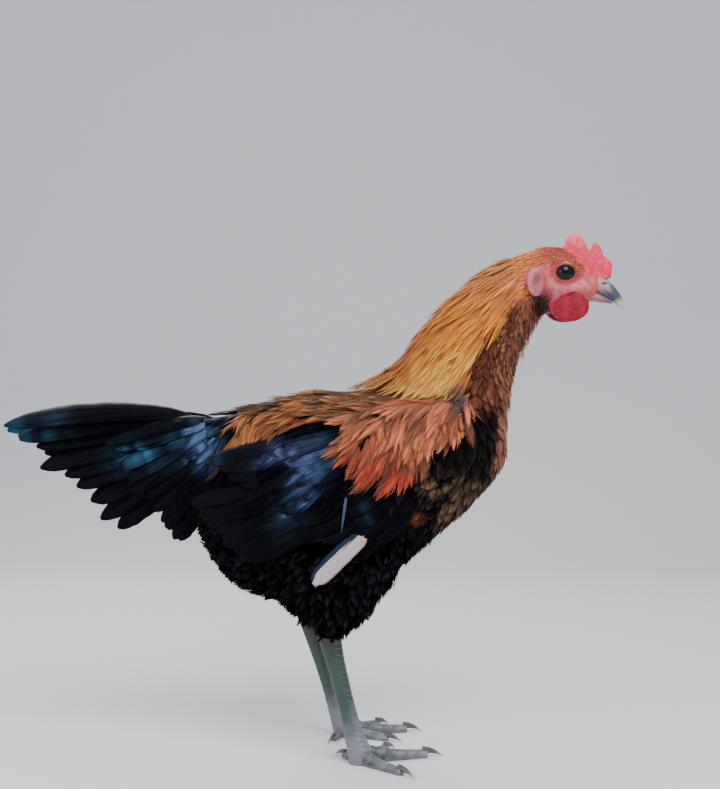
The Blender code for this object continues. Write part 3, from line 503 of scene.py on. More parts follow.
def loft_mesh(rings):
    """Points and faces of the closed skin over a stack of rings of points."""
    count, sides = rings.shape[:2]
    faces = tube_quads(count, sides).reshape(-1, 4).tolist()
    faces.append(list(range(sides))[::-1])
    faces.append(list(range((count - 1) * sides, count * sides)))
    return rings.reshape(-1, 3), faces


def joined(parts):
    """Points and faces of several meshes as one."""
    points, faces, start = [], [], 0
    for part_points, part_faces in parts:
        points.append(np.asarray(part_points, float))
        faces += [[start + i for i in face] for face in part_faces]
        start += len(part_points)
    return np.concatenate(points), faces


def mesh_piece(name, points, faces):
    """A smooth mesh object of these points and faces, turned outwards."""
    mesh = bpy.data.meshes.new(name)
    mesh.from_pydata(np.asarray(points).tolist(), [], faces)
    mesh.validate()
    made = bpy.data.objects.new(name, mesh)
    bpy.context.scene.collection.objects.link(made)
    turned_outwards(mesh)
    mesh.shade_smooth()
    return made


def turned_outwards(mesh):
    """Turns every closed surface's faces outwards."""
    shape = bmesh.new()
    shape.from_mesh(mesh)
    bmesh.ops.recalc_face_normals(shape, faces=shape.faces)
    shape.to_mesh(mesh)
    shape.free()


def settled(made):
    """Applies the object's modifiers to its mesh."""
    graph = bpy.context.evaluated_depsgraph_get()
    mesh = bpy.data.meshes.new_from_object(made.evaluated_get(graph))
    old = made.data
    made.modifiers.clear()
    made.data = mesh
    bpy.data.meshes.remove(old)
    mesh.name = made.name
    mesh.shade_smooth()
    return made


def fused(name, parts, grain, rounds):
    """Overlapping closed meshes grown into one skin with faces about grain wide, then smoothed."""
    made = mesh_piece(name, *joined(parts))
    remesh = made.modifiers.new("fuse", "REMESH")
    remesh.mode = "VOXEL"
    remesh.voxel_size = grain
    smooth = made.modifiers.new("smooth", "SMOOTH")
    smooth.factor = 0.5
    smooth.iterations = rounds
    return settled(made)


def cut(made, cutter):
    """Cuts the cutter's shape out of the object and removes the cutter."""
    modifier = made.modifiers.new("cut", "BOOLEAN")
    modifier.operation = "DIFFERENCE"
    modifier.solver = "MANIFOLD"
    modifier.object = cutter
    settled(made)
    bpy.data.objects.remove(cutter)


def points_of(made):
    """The object's points as an array."""
    flat = np.empty(len(made.data.vertices) * 3, np.float32)
    made.data.vertices.foreach_get("co", flat)
    return flat.reshape(-1, 3).astype(float)


def move_points(made, points):
    """Puts the object's points at these places."""
    made.data.vertices.foreach_set("co", np.asarray(points, np.float32).ravel())
    made.data.update()


def slopes_of(made):
    """The outward direction at each of the object's points."""
    flat = np.empty(len(made.data.vertices) * 3, np.float32)
    made.data.vertex_normals.foreach_get("vector", flat)
    return flat.reshape(-1, 3).astype(float)


def paint(made, colours, grain=None):
    """Keeps a colour for each point, and a place on the feather or scale where there is one."""
    mesh = made.data
    rgba = np.ones((len(mesh.vertices), 4), np.float32)
    rgba[:, :3] = np.clip(colours, 0, 1)
    layer = mesh.color_attributes.new("plumage", "FLOAT_COLOR", "POINT")
    layer.data.foreach_set("color", rgba.ravel())
    if grain is not None:
        layer = mesh.attributes.new("vane", "FLOAT_VECTOR", "POINT")
        layer.data.foreach_set("vector", np.asarray(grain, np.float32).ravel())


def finish_piece(made, material, slot, *replaced):
    """Gives the piece its finish, and ties it to the frame."""
    made.data.materials.clear()
    made.data.materials.append(material)
    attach(made, "root")
    if replaced:
        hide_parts(*replaced)


def lie_at(points, splay):
    """The heading of the coat at each point, splayed away from the middle by splay."""
    guides = np.array(LIE)
    off = (points[:, None, 0] - guides[None, :, 0]) ** 2 + (points[:, None, 2] - guides[None, :, 1]) ** 2
    weight = 1.0 / (off + 2e-5) ** 2
    weight /= weight.sum(1, keepdims=True)
    heading = np.zeros((len(points), 3))
    heading[:, 0] = weight @ guides[:, 2]
    heading[:, 2] = weight @ guides[:, 3]
    heading[:, 1] = splay * np.clip(points[:, 1] / 0.02, -1, 1)
    return unit(heading)


class Hide:
    """The skin as something that a coat grows on."""

    def __init__(self, made):
        mesh = made.data
        mesh.calc_loop_triangles()
        self.points = points_of(made)
        self.slopes = slopes_of(made)
        self.corners = np.array([t.vertices[:] for t in mesh.loop_triangles])
        self.tree = BVHTree.FromPolygons(self.points.tolist(), self.corners.tolist())

    def nearest(self, places):
        """The nearest places on the skin, and the outward directions there."""
        found = [self.tree.find_nearest(place) for place in places.tolist()]
        spots = np.array([hit[0] for hit in found])
        slopes = self.slopes[self.corners[[hit[2] for hit in found]]].mean(1)
        return spots, unit(slopes)

    def scatter(self, spacing, keep, seed):
        """Places about spacing apart wherever keep, a share for each place, lets them stand."""
        draw = np.random.default_rng(seed)
        a, b, c = (self.points[self.corners[:, k]] for k in range(3))
        area = np.linalg.norm(np.cross(b - a, c - a), axis=1) / 2
        chosen = draw.choice(len(area), int(5 * area.sum() / spacing**2), p=area / area.sum())
        u, v = draw.random(len(chosen)), draw.random(len(chosen))
        fold = u + v > 1
        u[fold], v[fold] = 1 - u[fold], 1 - v[fold]
        spots = a[chosen] + u[:, None] * (b - a)[chosen] + v[:, None] * (c - a)[chosen]
        spots = spots[keep(spots) > draw.random(len(spots))]
        kept, cells = [], {}
        for spot in spots:
            cell = tuple(int(value // spacing) for value in spot)
            near = (
                other
                for i in (-1, 0, 1)
                for j in (-1, 0, 1)
                for k in (-1, 0, 1)
                for other in cells.get((cell[0] + i, cell[1] + j, cell[2] + k), ())
            )
            if all(((spot - other) ** 2).sum() > (0.8 * spacing) ** 2 for other in near):
                cells.setdefault(cell, []).append(spot)
                kept.append(spot)
        return np.array(kept)

    def combed(self, roots, lengths, lifts, splay, sway, stations, seed):
        """Lines that run from the roots along the lie of the coat, and their outward directions."""
        draw = np.random.default_rng(seed)
        stray = draw.normal(size=(len(roots), 3)) * sway
        spots, slopes = self.nearest(roots)
        line, outs = [spots], [slopes]
        for _ in range(stations - 1):
            ahead = lie_at(spots, splay) + stray
            ahead = unit(ahead - (ahead * slopes).sum(1, keepdims=True) * slopes)
            spots, slopes = self.nearest(spots + ahead * (lengths / (stations - 1))[:, None])
            line.append(spots)
            outs.append(slopes)
        line, outs = np.stack(line, 1), np.stack(outs, 1)
        t = np.linspace(0, 1, stations)
        straight = line[:, :1] + (line[:, -1:] - line[:, :1]) * t[None, :, None]
        bridge = 0.95 * ((straight - line) * outs).sum(-1).clip(0, 0.014)
        start, end = (np.reshape(value, (-1, 1)) for value in (lifts(roots) if callable(lifts) else lifts))
        raised = start + (end - start) * t[None, :] ** 1.15 * draw.uniform(0.75, 1.15, (len(roots), 1))
        return line + outs * (raised + bridge)[..., None], outs


def leaf_rings(line, outs, half_width, thickness, section, camber=0.0):
    """The rings of points of thin leaves along lines; the numbers across are per station."""
    ahead = unit(np.gradient(line, axis=1))
    across = unit(np.cross(ahead, outs))
    out = np.cross(across, ahead)
    shape = np.array(section)
    u, h = shape[:, 0], shape[:, 1]
    aside = half_width[..., None] * u
    rise = thickness[..., None] * h - camber * half_width[..., None] * u**2
    return line[:, :, None] + across[:, :, None] * aside[..., None] + out[:, :, None] * rise[..., None]


class Coat:
    """Closed thin leaves gathered into one piece."""

    def __init__(self, name):
        self.name = name
        self.parts = []

    def add(self, rings, colours, along, aside, chance, places):
        """Adds leaves with colours, millimetres along and aside, chance numbers and places on the map."""
        shape = rings.shape[:3]
        turn = np.arange(shape[2]) * 2 * math.pi / shape[2]
        grain = (along[:, :, None], aside, chance[:, None, None])
        patch = (np.linspace(-1, 1, shape[1])[None, :, None], np.cos(turn)[None, None, :])
        grain = np.stack([np.broadcast_to(part, shape) for part in grain], -1)
        patch = np.stack([np.broadcast_to(part, shape) for part in patch], -1)
        flat = places[:, None, None] + HALF_PATCH * patch
        tint = np.broadcast_to(colours[:, :, None], (*shape, 3))
        self.parts.append((rings, tint, grain, flat))

    def built(self):
        """The mesh object of all the leaves, with colours, grain and the rolled-out map."""
        corners, sizes, start = [], [], 0
        for rings, *_ in self.parts:
            count, stations, sides = rings.shape[:3]
            first = start + np.arange(count)[:, None, None] * stations * sides
            quads = first[..., None] + tube_quads(stations, sides)[None]
            root = first[:, 0] + np.arange(sides)[::-1]
            tip = first[:, 0] + (stations - 1) * sides + np.arange(sides)
            corners += [quads.ravel(), root.ravel(), tip.ravel()]
            sizes += [np.full(quads.size // 4, 4), np.full(2 * count, sides)]
            start += count * stations * sides
        points, tints, grains, flats = (
            np.concatenate([values.reshape(-1, values.shape[-1]) for values in column])
            for column in zip(*self.parts)
        )
        corners, sizes = np.concatenate(corners), np.concatenate(sizes)
        starts = np.concatenate([[0], np.cumsum(sizes)[:-1]])
        mesh = bpy.data.meshes.new(self.name)
        mesh.vertices.add(len(points))
        mesh.vertices.foreach_set("co", points.astype(np.float32).ravel())
        mesh.loops.add(len(corners))
        mesh.loops.foreach_set("vertex_index", corners.astype(np.int32))
        mesh.polygons.add(len(sizes))
        mesh.polygons.foreach_set("loop_start", starts.astype(np.int32))
        mesh.update(calc_edges=True)
        flat = mesh.uv_layers.new(name="OFBake")
        flat.data.foreach_set("uv", flats[corners].astype(np.float32).ravel())
        mesh.shade_smooth()
        made = bpy.data.objects.new(self.name, mesh)
        bpy.context.scene.collection.objects.link(made)
        paint(made, tints, grains)
        triangles = int((sizes - 2).sum())
        print(f"{self.name}: {triangles} triangles")
        if triangles >= MOST_TRIANGLES:
            raise RuntimeError(f"{self.name} has too many triangles")
        return made


def profile(table, stations):
    """The values of a width table at even stations."""
    return along_table(table, np.linspace(0, 1, stations))


def add_leaves(
    coat, line, outs, width, outline, tint, places, seed,
    thickness=0.00028, section=DIAMOND, camber=0.18, ragged=0.06,
):
    """Adds one leaf along each line. The tint is (n, stations, 3)."""
    draw = np.random.default_rng(seed)
    count, stations = line.shape[:2]
    uneven = 1 + draw.uniform(-ragged, 0.0, (count, stations))
    half = 0.5 * np.asarray(width)[:, None] * profile(outline, stations)[None] * uneven
    thick = thickness * np.linspace(1.0, 0.45, stations)[None] * np.ones((count, 1))
    rings = leaf_rings(line, outs, half, thick, section, camber)
    length = np.linalg.norm(line[:, -1] - line[:, 0], axis=1) / MM
    along = length[:, None] * np.linspace(0, 1, stations)[None]
    aside = half[..., None] / MM * np.array(section)[:, 0]
    coat.add(rings, tint, along, aside, draw.random(count), places)


def add_strands(
    coat, line, outs, width, per, tint, places, seed, thin=0.00042, spread=1.15, starts=(0.05, 0.55), steps=4
):
    """Adds fine strands that fan out of each line, as the loose barbs of a feather do."""
    draw = np.random.default_rng(seed)
    count, stations = line.shape[:2]
    across = unit(np.cross(unit(np.gradient(line, axis=1)), outs))
    index = np.repeat(np.arange(count), per)
    first = draw.uniform(*starts, len(index))
    last = np.minimum(first + draw.uniform(0.35, 0.6, len(index)), draw.uniform(0.86, 1.04, len(index)))
    f = np.linspace(0, 1, steps)
    t = first[:, None] + (last - first)[:, None] * f[None]
    at = t * (stations - 1)
    low = np.clip(at.astype(int), 0, stations - 2)
    part = (at - low)[..., None]
    rows = index[:, None]

    def along_line(values):
        return values[rows, low] * (1 - part) + values[rows, low + 1] * part

    middle, out, aside = along_line(line), along_line(outs), along_line(across)
    lean = draw.uniform(-1, 1, len(index))
    half = 0.5 * np.asarray(width)[index]
    offset = half[:, None] * (lean[:, None] * (0.25 + 0.75 * f[None] ** 0.7)) * spread
    offset *= 1 - 0.45 * smoothstep(0.6, 1.0, t)
    rise = draw.uniform(-0.0002, 0.0007, len(index))[:, None] * f[None]
    spots = middle + aside * offset[..., None] + out * (rise + 0.00015)[..., None]
    taper = np.interp(f, [0.0, 0.25, 0.5, 0.75, 1.0], [0.75, 1.0, 0.85, 0.55, 0.08])
    widths = thin * draw.uniform(0.7, 1.3, (len(index), 1)) * taper[None]
    rings = leaf_rings(spots, out, 0.5 * widths * 1.6, 0.35 * widths, STRAND)
    colours = along_line(tint) * draw.normal(1.0, 0.16, (len(index), 1, 1))
    along = t * (np.linalg.norm(line[:, -1] - line[:, 0], axis=1)[index] / MM)[:, None]
    coat.add(rings, colours, along, np.zeros((len(index), steps, 3)), draw.random(len(index)), places[index])


def varied(draw, count, spread, warm=0.05):
    """A brightness and a slight shift of hue for each feather, as factors on its colour."""
    factor = np.clip(draw.normal(1.0, spread, (count, 1)), 0.35, 1.9) * np.ones((1, 3))
    factor[:, 1] *= 1 + draw.normal(0, warm, count)
    return factor


def hem_height(x):
    """The height of the orange plumage's hem at each x."""
    return along_table(HEM, x)


def hackle_edge(z):
    """Where the golden hackle ends in front, at each height."""
    return along_table(HACKLE_EDGE, z)


def beside_hem(points, above):
    """The places moved to the orange or the black side of the hem."""
    x, y, z = points[..., 0], points[..., 1], points[..., 2]
    edge = hem_height(x)
    low = np.where((x < 0.124) & (z < edge + 0.010), np.minimum(z, edge - 0.005), z)
    return np.stack([x, y, np.maximum(z, edge + 0.004) if above else low], -1)


def breast_layers(points, mottle, plumage):
    """The mottled lower breast and its paler front, as colours and shares."""
    x, z = side_view(points)
    low = smoothstep(0.084, 0.096, x + 0.6 * (z - 0.20)) * falling(0.214, 0.226, z + 0.004 * mottle)
    speck = (0.62 + 0.60 * ripple(points, 0.0055, 9)).clip(0.1, 1)
    front = smoothstep(0.146, 0.156, x + 0.15 * (0.25 - z).clip(0, 1))
    return (plumage.breast, low * speck), ("#8E6450", front * smoothstep(0.20, 0.215, z) * 0.8)


def cape_layers(points, mottle, plumage):
    """The orange cape, back and saddle above the hem, and the olive patch on the rump."""
    x, z = side_view(points)
    dark = smoothstep(0.12, 0.60, ripple(points, 0.0085, 13))
    fringe_end = smoothstep(0.222, 0.254, z + 0.6 * (x - 0.064).clip(0, 1))
    cape = layered(plumage.fringe, (plumage.cape, fringe_end), (plumage.brown, 0.68 * dark))
    shade = smoothstep(0.262, 0.274, z) * smoothstep(-0.010, 0.006, x) * falling(0.046, 0.062, x)
    orange = layered(
        plumage.back,
        (plumage.brown, (0.35 + 0.45 * mottle).clip(0, 1)),
        (cape, smoothstep(0.012, 0.026, x) * falling(0.268, 0.290, z)),
        ("#4A2C1C", 0.62 * shade * (0.7 + 0.6 * mottle).clip(0.3, 1)),
        (plumage.saddle, falling(-0.050, -0.034, x)),
    )
    above = smoothstep(-0.002, 0.003, z - hem_height(x)) * smoothstep(-0.075, -0.070, x)
    above = above * falling(0.126, 0.133, x + 0.002 * mottle)
    olive = smoothstep(0.268, 0.272, z) * smoothstep(-0.074, -0.068, x) * falling(-0.030, -0.024, x)
    return (orange, above), ("#1E2014", 0.9 * olive * above)


def neck_layers(points, mottle, plumage):
    """The brown throat, the golden hackle and the pinkish front of the neck."""
    x, z = side_view(points)
    inner = falling(0.128, 0.142, x) * falling(0.292, 0.312, z)
    throat = layered(
        plumage.throat,
        (plumage.brown, (0.12 + 0.35 * mottle).clip(0, 1)),
        ("#6E4030", 0.7 * falling(0.280, 0.320, z)),
        (plumage.brown, 0.65 * inner * (0.8 + 0.6 * mottle).clip(0, 1)),
    )
    on_throat = smoothstep(0.262, 0.282, z - 0.35 * (x - 0.135))
    on_throat = on_throat * smoothstep(0.121, 0.130, x + 0.6 * (z - 0.285).clip(0, 1))
    gold = mixed(plumage.gold, plumage.nape, smoothstep(0.345, 0.385, z))
    behind = smoothstep(-0.004, 0.006, hackle_edge(z) - x)
    golden = behind * smoothstep(0.284, 0.300, z - 0.45 * (0.085 - x).clip(0, 1))
    pink = smoothstep(0.1440, 0.1560, x - 0.14 * (z - 0.262)) * (1 - behind)
    return (throat, on_throat), (gold, golden), ("#9A6450", 0.65 * pink * smoothstep(0.218, 0.234, z))


def markings(points, plumage):
    """The plumage's colour at each place, seen from the side, the same for the skin and its coat."""
    mottle = ripple(points, 0.016, 5)
    colour = np.broadcast_to(np.array(plumage.black), points.shape)
    for layers in (breast_layers, cape_layers, neck_layers):
        colour = layered(colour, *layers(points, mottle, plumage))
    return colour


def hem_markings(plumage, above):
    """The markings as a function of place, kept to the orange or the black side of the hem."""
    return lambda places: markings(beside_hem(places, above), plumage)


def spotted(points, colour):
    """The colour at each place with the plumage's single marks laid over it."""
    x, z = side_view(points)
    for spot_x, spot_z, along, up, tone, strength in SPOTS:
        near = soft_oval(x, z, (spot_x, spot_z), (along, up), 4)
        colour = mixed(colour, linear(tone), strength * near)
    return colour


def black_gloss(points, plumage, liveliness):
    """The black plumage's colour at each place, with blue and green highlights painted where it catches
    light.
    """
    x, z = side_view(points)
    colour = np.broadcast_to(np.array(plumage.black), points.shape)
    streaks = (0.75 + 0.7 * ripple(points * (0.35, 1.0, 1.0), 0.0045, 71)).clip(0, 2)
    for spot_x, spot_z, along, across, strength, green, rise in GLINTS:
        lean, ahead, over = math.radians(rise), x - spot_x, z - spot_z
        far_along = (ahead * math.cos(lean) + over * math.sin(lean)) / along
        far_across = (over * math.cos(lean) - ahead * math.sin(lean)) / across
        near = np.exp(-(far_along**2) - far_across**2) * streaks
        hue = mixed(np.array(plumage.gloss), np.array(plumage.teal), green)
        colour = mixed(colour, hue, np.clip(strength * near * liveliness, 0, 1))
    return colour


def fill(tree, made, inputs):
    """Sets or links the inputs of a node or a shader."""
    for key, value in inputs.items():
        if isinstance(value, bpy.types.NodeSocket):
            tree.links.new(value, made.inputs[key])
        else:
            made.inputs[key].default_value = value


def node(tree, kind, inputs=None, output=0, **settings):
    """Adds a node with its settings and inputs, and gives one of its outputs."""
    made = tree.nodes.new("ShaderNode" + kind)
    for name, value in settings.items():
        setattr(made, name, value)
    fill(tree, made, inputs or {})
    return made.outputs[output]


def blank_material(name):
    """A material with a Principled shader, its tree and that shader."""
    material = bpy.data.materials.new(name)
    material.use_nodes = True
    tree = material.node_tree
    return material, tree, tree.nodes["Principled BSDF"]


def shaded_plumage(tree, tone):
    """The painted colour of each place, made lighter or darker by a tone."""
    colour = node(tree, "Attribute", output="Color", attribute_name="plumage")
    return node(tree, "Mix", {0: 1.0, 6: colour, 7: tone}, 2, data_type="RGBA", blend_type="MULTIPLY")


def feather_material(name, roughness, sheen, specular, tint, barb_mm=0.9, barb_depth=0.20):
    """Keratin barbs lying side by side: fine slanting grooves, satin along the vane, soft at the edge.

    Real barbs stand about 0.4 mm apart; they are drawn about twice as coarse so that they show.
    """
    material, tree, shader = blank_material(name)
    vane = node(tree, "Attribute", output="Vector", attribute_name="vane")
    axes = node(tree, "SeparateXYZ", {0: vane}).node.outputs
    aside = node(tree, "Math", {0: axes[1]}, operation="ABSOLUTE")
    slant = node(tree, "Math", {0: aside, 1: -1.2, 2: axes[0]}, operation="MULTIPLY_ADD")
    turns = node(tree, "Math", {0: slant, 1: 2 * math.pi / barb_mm}, operation="MULTIPLY")
    barbs = node(tree, "Math", {0: turns}, operation="SINE")
    uneven = node(tree, "TexNoise", {"Vector": vane, "Scale": 0.9, "Detail": 3.0})
    shade = node(tree, "Math", {0: barbs, 1: barb_depth / 2, 2: 1 - barb_depth / 2}, operation="MULTIPLY_ADD")
    cloud = node(tree, "MapRange", {0: uneven, 1: 0.3, 2: 0.7, 3: 0.80, 4: 1.18})
    both = node(tree, "Math", {0: shade, 1: cloud}, operation="MULTIPLY")
    toned = shaded_plumage(tree, both)
    bump = node(tree, "Bump", {"Strength": 0.35, "Distance": 0.0002, "Height": barbs})
    gleam = (*linear(tint), 1.0)
    fill(tree, shader, {"Base Color": toned, "Normal": bump, "Roughness": roughness, "IOR": 1.54})
    fill(tree, shader, {"Specular IOR Level": specular, "Specular Tint": gleam})
    fill(tree, shader, {"Sheen Weight": sheen, "Sheen Roughness": 0.4, "Sheen Tint": gleam})
    return material


def skin_material(name, roughness, grain_mm, bump_strength, scatter=0.14):
    """Live skin: light soaks into it, small pimples about a millimetre apart, a faint wet shine."""
    material, tree, shader = blank_material(name)
    place = node(tree, "TexCoord", output="Object")
    grain = {"Vector": place, "Scale": 1 / (grain_mm * MM)}
    pimples = node(tree, "TexVoronoi", grain, "Distance", feature="SMOOTH_F1")
    fine = node(tree, "TexNoise", {"Vector": place, "Scale": 1 / (0.45 * grain_mm * MM), "Detail": 4.0})
    height = node(tree, "Math", {0: pimples, 1: -1.0, 2: fine}, operation="MULTIPLY_ADD")
    tone = node(tree, "MapRange", {0: pimples, 1: 0.1, 2: 0.7, 3: 1.10, 4: 0.80})
    toned = shaded_plumage(tree, tone)
    bump = node(tree, "Bump", {"Strength": bump_strength, "Distance": 0.0004, "Height": height})
    fill(tree, shader, {"Base Color": toned, "Normal": bump, "Roughness": roughness, "IOR": 1.40})
    fill(tree, shader, {"Specular IOR Level": 0.28, "Subsurface Weight": scatter})
    fill(tree, shader, {"Subsurface Radius": (1.0, 0.35, 0.2), "Subsurface Scale": 0.0014})
    return material


def horn_material(name, roughness, scale_mm, bump_strength):
    """Grown horn: layered keratin with fine lines along it and a low polish."""
    material, tree, shader = blank_material(name)
    place = node(tree, "TexCoord", output="Object")
    grain = {"Vector": place, "Scale": 1 / (scale_mm * MM)}
    cells = node(tree, "TexVoronoi", grain, "Distance", feature="DISTANCE_TO_EDGE")
    fine = node(tree, "TexNoise", {"Vector": place, "Scale": 1 / (0.8 * MM), "Detail": 5.0})
    tone = node(tree, "MapRange", {0: fine, 1: 0.3, 2: 0.7, 3: 0.82, 4: 1.16})
    toned = shaded_plumage(tree, tone)
    height = node(tree, "Math", {0: fine, 1: 0.3, 2: cells}, operation="MULTIPLY_ADD")
    bump = node(tree, "Bump", {"Strength": bump_strength, "Distance": 0.0003, "Height": height})
    fill(tree, shader, {"Base Color": toned, "Normal": bump, "Roughness": roughness, "IOR": 1.54})
    return material


def eye_material():
    """A wet eyeball: near-black iris under clear fluid, with a sharp small highlight."""
    material, tree, shader = blank_material("wet_eyeball")
    place = node(tree, "TexCoord", output="Object")
    fibres = node(tree, "TexNoise", {"Vector": place, "Scale": 1800.0, "Detail": 3.0})
    tone = node(tree, "MapRange", {0: fibres, 1: 0.3, 2: 0.7, 3: 0.7, 4: 1.3})
    toned = shaded_plumage(tree, tone)
    fill(tree, shader, {"Base Color": toned, "Roughness": 0.12, "IOR": 1.38, "Specular IOR Level": 0.15})
    fill(tree, shader, {"Coat Weight": 0.25, "Coat Roughness": 0.03})
    return material


def floor_material(colour):
    """Matt painted board: even, with a faint roller texture."""
    material, tree, shader = blank_material("painted_board")
    place = node(tree, "TexCoord", output="Object")
    nap = node(tree, "TexNoise", {"Vector": place, "Scale": 160.0, "Detail": 4.0})
    bump = node(tree, "Bump", {"Strength": 0.04, "Distance": 0.0005, "Height": nap})
    fill(tree, shader, {"Base Color": (*colour, 1.0), "Normal": bump, "Roughness": 0.85})
    return material


def flank_place(x, z, side, lift):
    """The points beside the body at x and z that lie out of the folded wing's plane by lift."""
    torso = torso_form()
    ahead = np.maximum(x, REAR_OF_FLANK)
    s = np.interp(ahead, torso.rows[:, 0], np.arange(torso.last + 1))
    middle, arm, half = torso.section(s)
    up = np.clip((z - middle[..., 2]) / arm[..., 2], 0.0, 0.96)
    out = half * np.sqrt(1 - up * up) * (1 + TORSO_FULLNESS * up)
    y = side * (out + WING_TAPER * np.minimum(x - REAR_OF_FLANK, 0.0) + lift)
    return np.stack([x, y, z], -1)


def flank_slope(x, z, side):
    """The outward direction of the folded wing's plane."""
    step = 0.002
    along = flank_place(x + step, z, side, 0.0) - flank_place(x - step, z, side, 0.0)
    upward = flank_place(x, z + step, side, 0.0) - flank_place(x, z - step, side, 0.0)
    out = unit(np.cross(along, upward))
    return out * np.where(out[..., 1:2] * side < 0, -1.0, 1.0)


def wing_pad(side):
    """The folded arm of the wing as a smooth pad on the flank."""
    rows = smooth_rows(WING_ARM, np.linspace(0, len(WING_ARM) - 1, 24))
    swell = np.linspace(0, 1, 10)
    rings = []
    for x, top, bottom in rows:
        z = bottom + (top - bottom) * (1 - np.cos(math.pi * swell)) / 2
        place = np.full(z.shape, x)
        outer = flank_place(place, z, side, -0.0020 + 0.0042 * np.sin(math.pi * swell))
        inner = flank_place(place, z, side, -0.0120)
        rings.append(np.concatenate([outer, inner[::-1]]))
    return loft_mesh(np.array(rings))


def leg_form(sections, label, out=True):
    """One leg's form on its side of the body."""
    shift, lean, _ = STANCES[label]
    rows = sections if out else [(*row, STANCE) for row in sections]
    return Form(rows, SIDES[label], shift=shift, lean=lean)


def body_skin(depth):
    """The skin of trunk, neck, thighs and the root of the tail, inside the coat."""
    torso = torso_form()
    neck = Form(NECK_SECTIONS)
    parts = [
        loft_mesh(torso.rings(70, 64, -depth)),
        loft_mesh(neck.rings(50, 56, lambda s, a: -0.0075 + 0.0045 * s / neck.last)),
        loft_mesh(Form(TAIL_SECTIONS).rings(20, 32, -0.003)),
    ]
    for label, side in SIDES.items():
        parts.append(loft_mesh(leg_form(THIGH_SECTIONS, label).rings(40, 40, -0.7 * depth)))
        parts.append(loft_mesh(leg_form(SHANK_SECTIONS[:2], label, out=False).rings(12, 32, -0.0012)))
        parts.append(wing_pad(side))
    return fused("body_skin", parts, 0.0020, 14)


def ellipsoid_mesh(rings, sides):
    """A unit sphere's points as rings from one pole along X to the other."""
    t = np.linspace(0.02, math.pi - 0.02, rings)
    a = np.arange(sides) * 2 * math.pi / sides
    t, a = np.meshgrid(t, a, indexing="ij")
    return np.stack([np.cos(t), np.sin(t) * np.cos(a), np.sin(t) * np.sin(a)], -1)


def head_form():
    """The head with the end of the neck that carries it."""
    return Form(HEAD_ROWS)


def head_spot(x, z, side):
    """The place on the side of the head at x and z, and the outward direction there."""
    form = head_form()
    along = np.linspace(1.0, form.last - 0.01, 240)
    s, angle = np.meshgrid(along, np.linspace(0.3, 2.9, 240), indexing="ij")
    place, out = form.at(s, side * angle, np.zeros(s.shape))
    off = (place[..., 0] - x) ** 2 + (place[..., 2] - z) ** 2
    best = np.unravel_index(off.argmin(), off.shape)
    return Vector(place[best]), Vector(out[best])


def spot_axes(out):
    """Two directions across the outward one: forwards and upwards on the side of the head."""
    forward = Vector((1, 0, 0))
    forward = (forward - forward.dot(out) * out).normalized()
    up = out.cross(forward)
    return forward, up if up.z > 0 else -up


def lid_mesh(side):
    """The raised ring of the lids round one eye, thicker over the eye."""
    count, sides = 48, 12
    place, out = head_spot(*EYE_CENTRE, side)
    forward, up = spot_axes(out)
    turns = [2 * math.pi * k / sides for k in range(sides)]
    rings = []
    for i in range(count):
        a = 2 * math.pi * i / count
        radial = forward * math.cos(a) + up * math.sin(a)
        heavy = max(0.0, math.sin(a)) ** 2
        middle = place + forward * LID_SLIT[0] * math.cos(a)
        middle = middle + up * (LID_SLIT[1] * math.sin(a) - 0.0007 * heavy) - out * 0.0002
        size = LID_RADIUS * (1.0 + 0.7 * heavy)
        rings.append([middle + radial * size * math.cos(b) + out * size * math.sin(b) for b in turns])
    i, k = np.meshgrid(np.arange(count), np.arange(sides), indexing="ij")
    row, ahead, beside = i * sides, (i + 1) % count * sides, (k + 1) % sides
    faces = np.stack([row + k, row + beside, ahead + beside, ahead + k], -1)
    return np.array(rings).reshape(-1, 3), faces.reshape(-1, 4).tolist()


def comb_ridges(x, z, shift=0.0):
    """The fine ridges that spread over the comb from its heart, from -1 to 1."""
    return np.sin(13 * np.arctan2(z - COMB_HEART[1], x - COMB_HEART[0]) + shift)


def comb_mesh():
    """The comb: a leaf with three points, thick at its root and thin and rounded along its edge."""
    edge = np.array(COMB_EDGE)
    closed = np.concatenate([edge[-1:], edge, edge[:2]])
    outline = smooth_rows(closed, np.linspace(1, len(edge) + 0.99, 90))[:-1]
    levels = ((-1.0, 0.20), (-0.8, 0.08), (-0.4, 0.015), (0.0, 0.0), (0.4, 0.015), (0.8, 0.08), (1.0, 0.20))
    rings = []
    for level, inset in levels:
        x, z = (outline + (np.array(COMB_HEART) - outline) * inset * 0.55).T
        thickness = np.interp(z, [0.385, 0.400, 0.412, 0.421], [0.0034, 0.0027, 0.0018, 0.0012])
        rings.append(np.stack([x, level * thickness * (1 + 0.10 * comb_ridges(x, z)), z], -1))
    return loft_mesh(np.array(rings))


def wattle_mesh(side):
    """One wattle: a hanging flap with a thick rim and soft folds."""
    shape = ellipsoid_mesh(40, 48)
    x, y, z = shape[..., 0].copy(), shape[..., 1].copy(), shape[..., 2].copy()
    radius = np.hypot(x, z)
    rim = smoothstep(0.62, 0.95, radius)
    folds = np.sin(11.0 * x / (1.25 - 0.35 * z)) * (0.25 + 0.75 * smoothstep(0.9, -0.6, z)) * (radius < 0.999)
    thick = WATTLE_RADII[1] * (0.85 + 0.45 * rim * (radius < 0.99))
    turn = math.radians(6.0) * side
    z = np.where(z > 0, (WATTLE_TOP + 0.34 * x) * z, z)
    place = np.stack([x * WATTLE_RADII[0], y * thick + 0.0007 * folds, z * WATTLE_RADII[2]], -1)
    place[..., 1] += -math.sin(turn) * place[..., 2]
    centre = np.array(WATTLE_CENTRE) * (1, side, 1)
    centre[2] += WATTLE_RISE if side > 0 else 0.0
    return loft_mesh(place + centre)


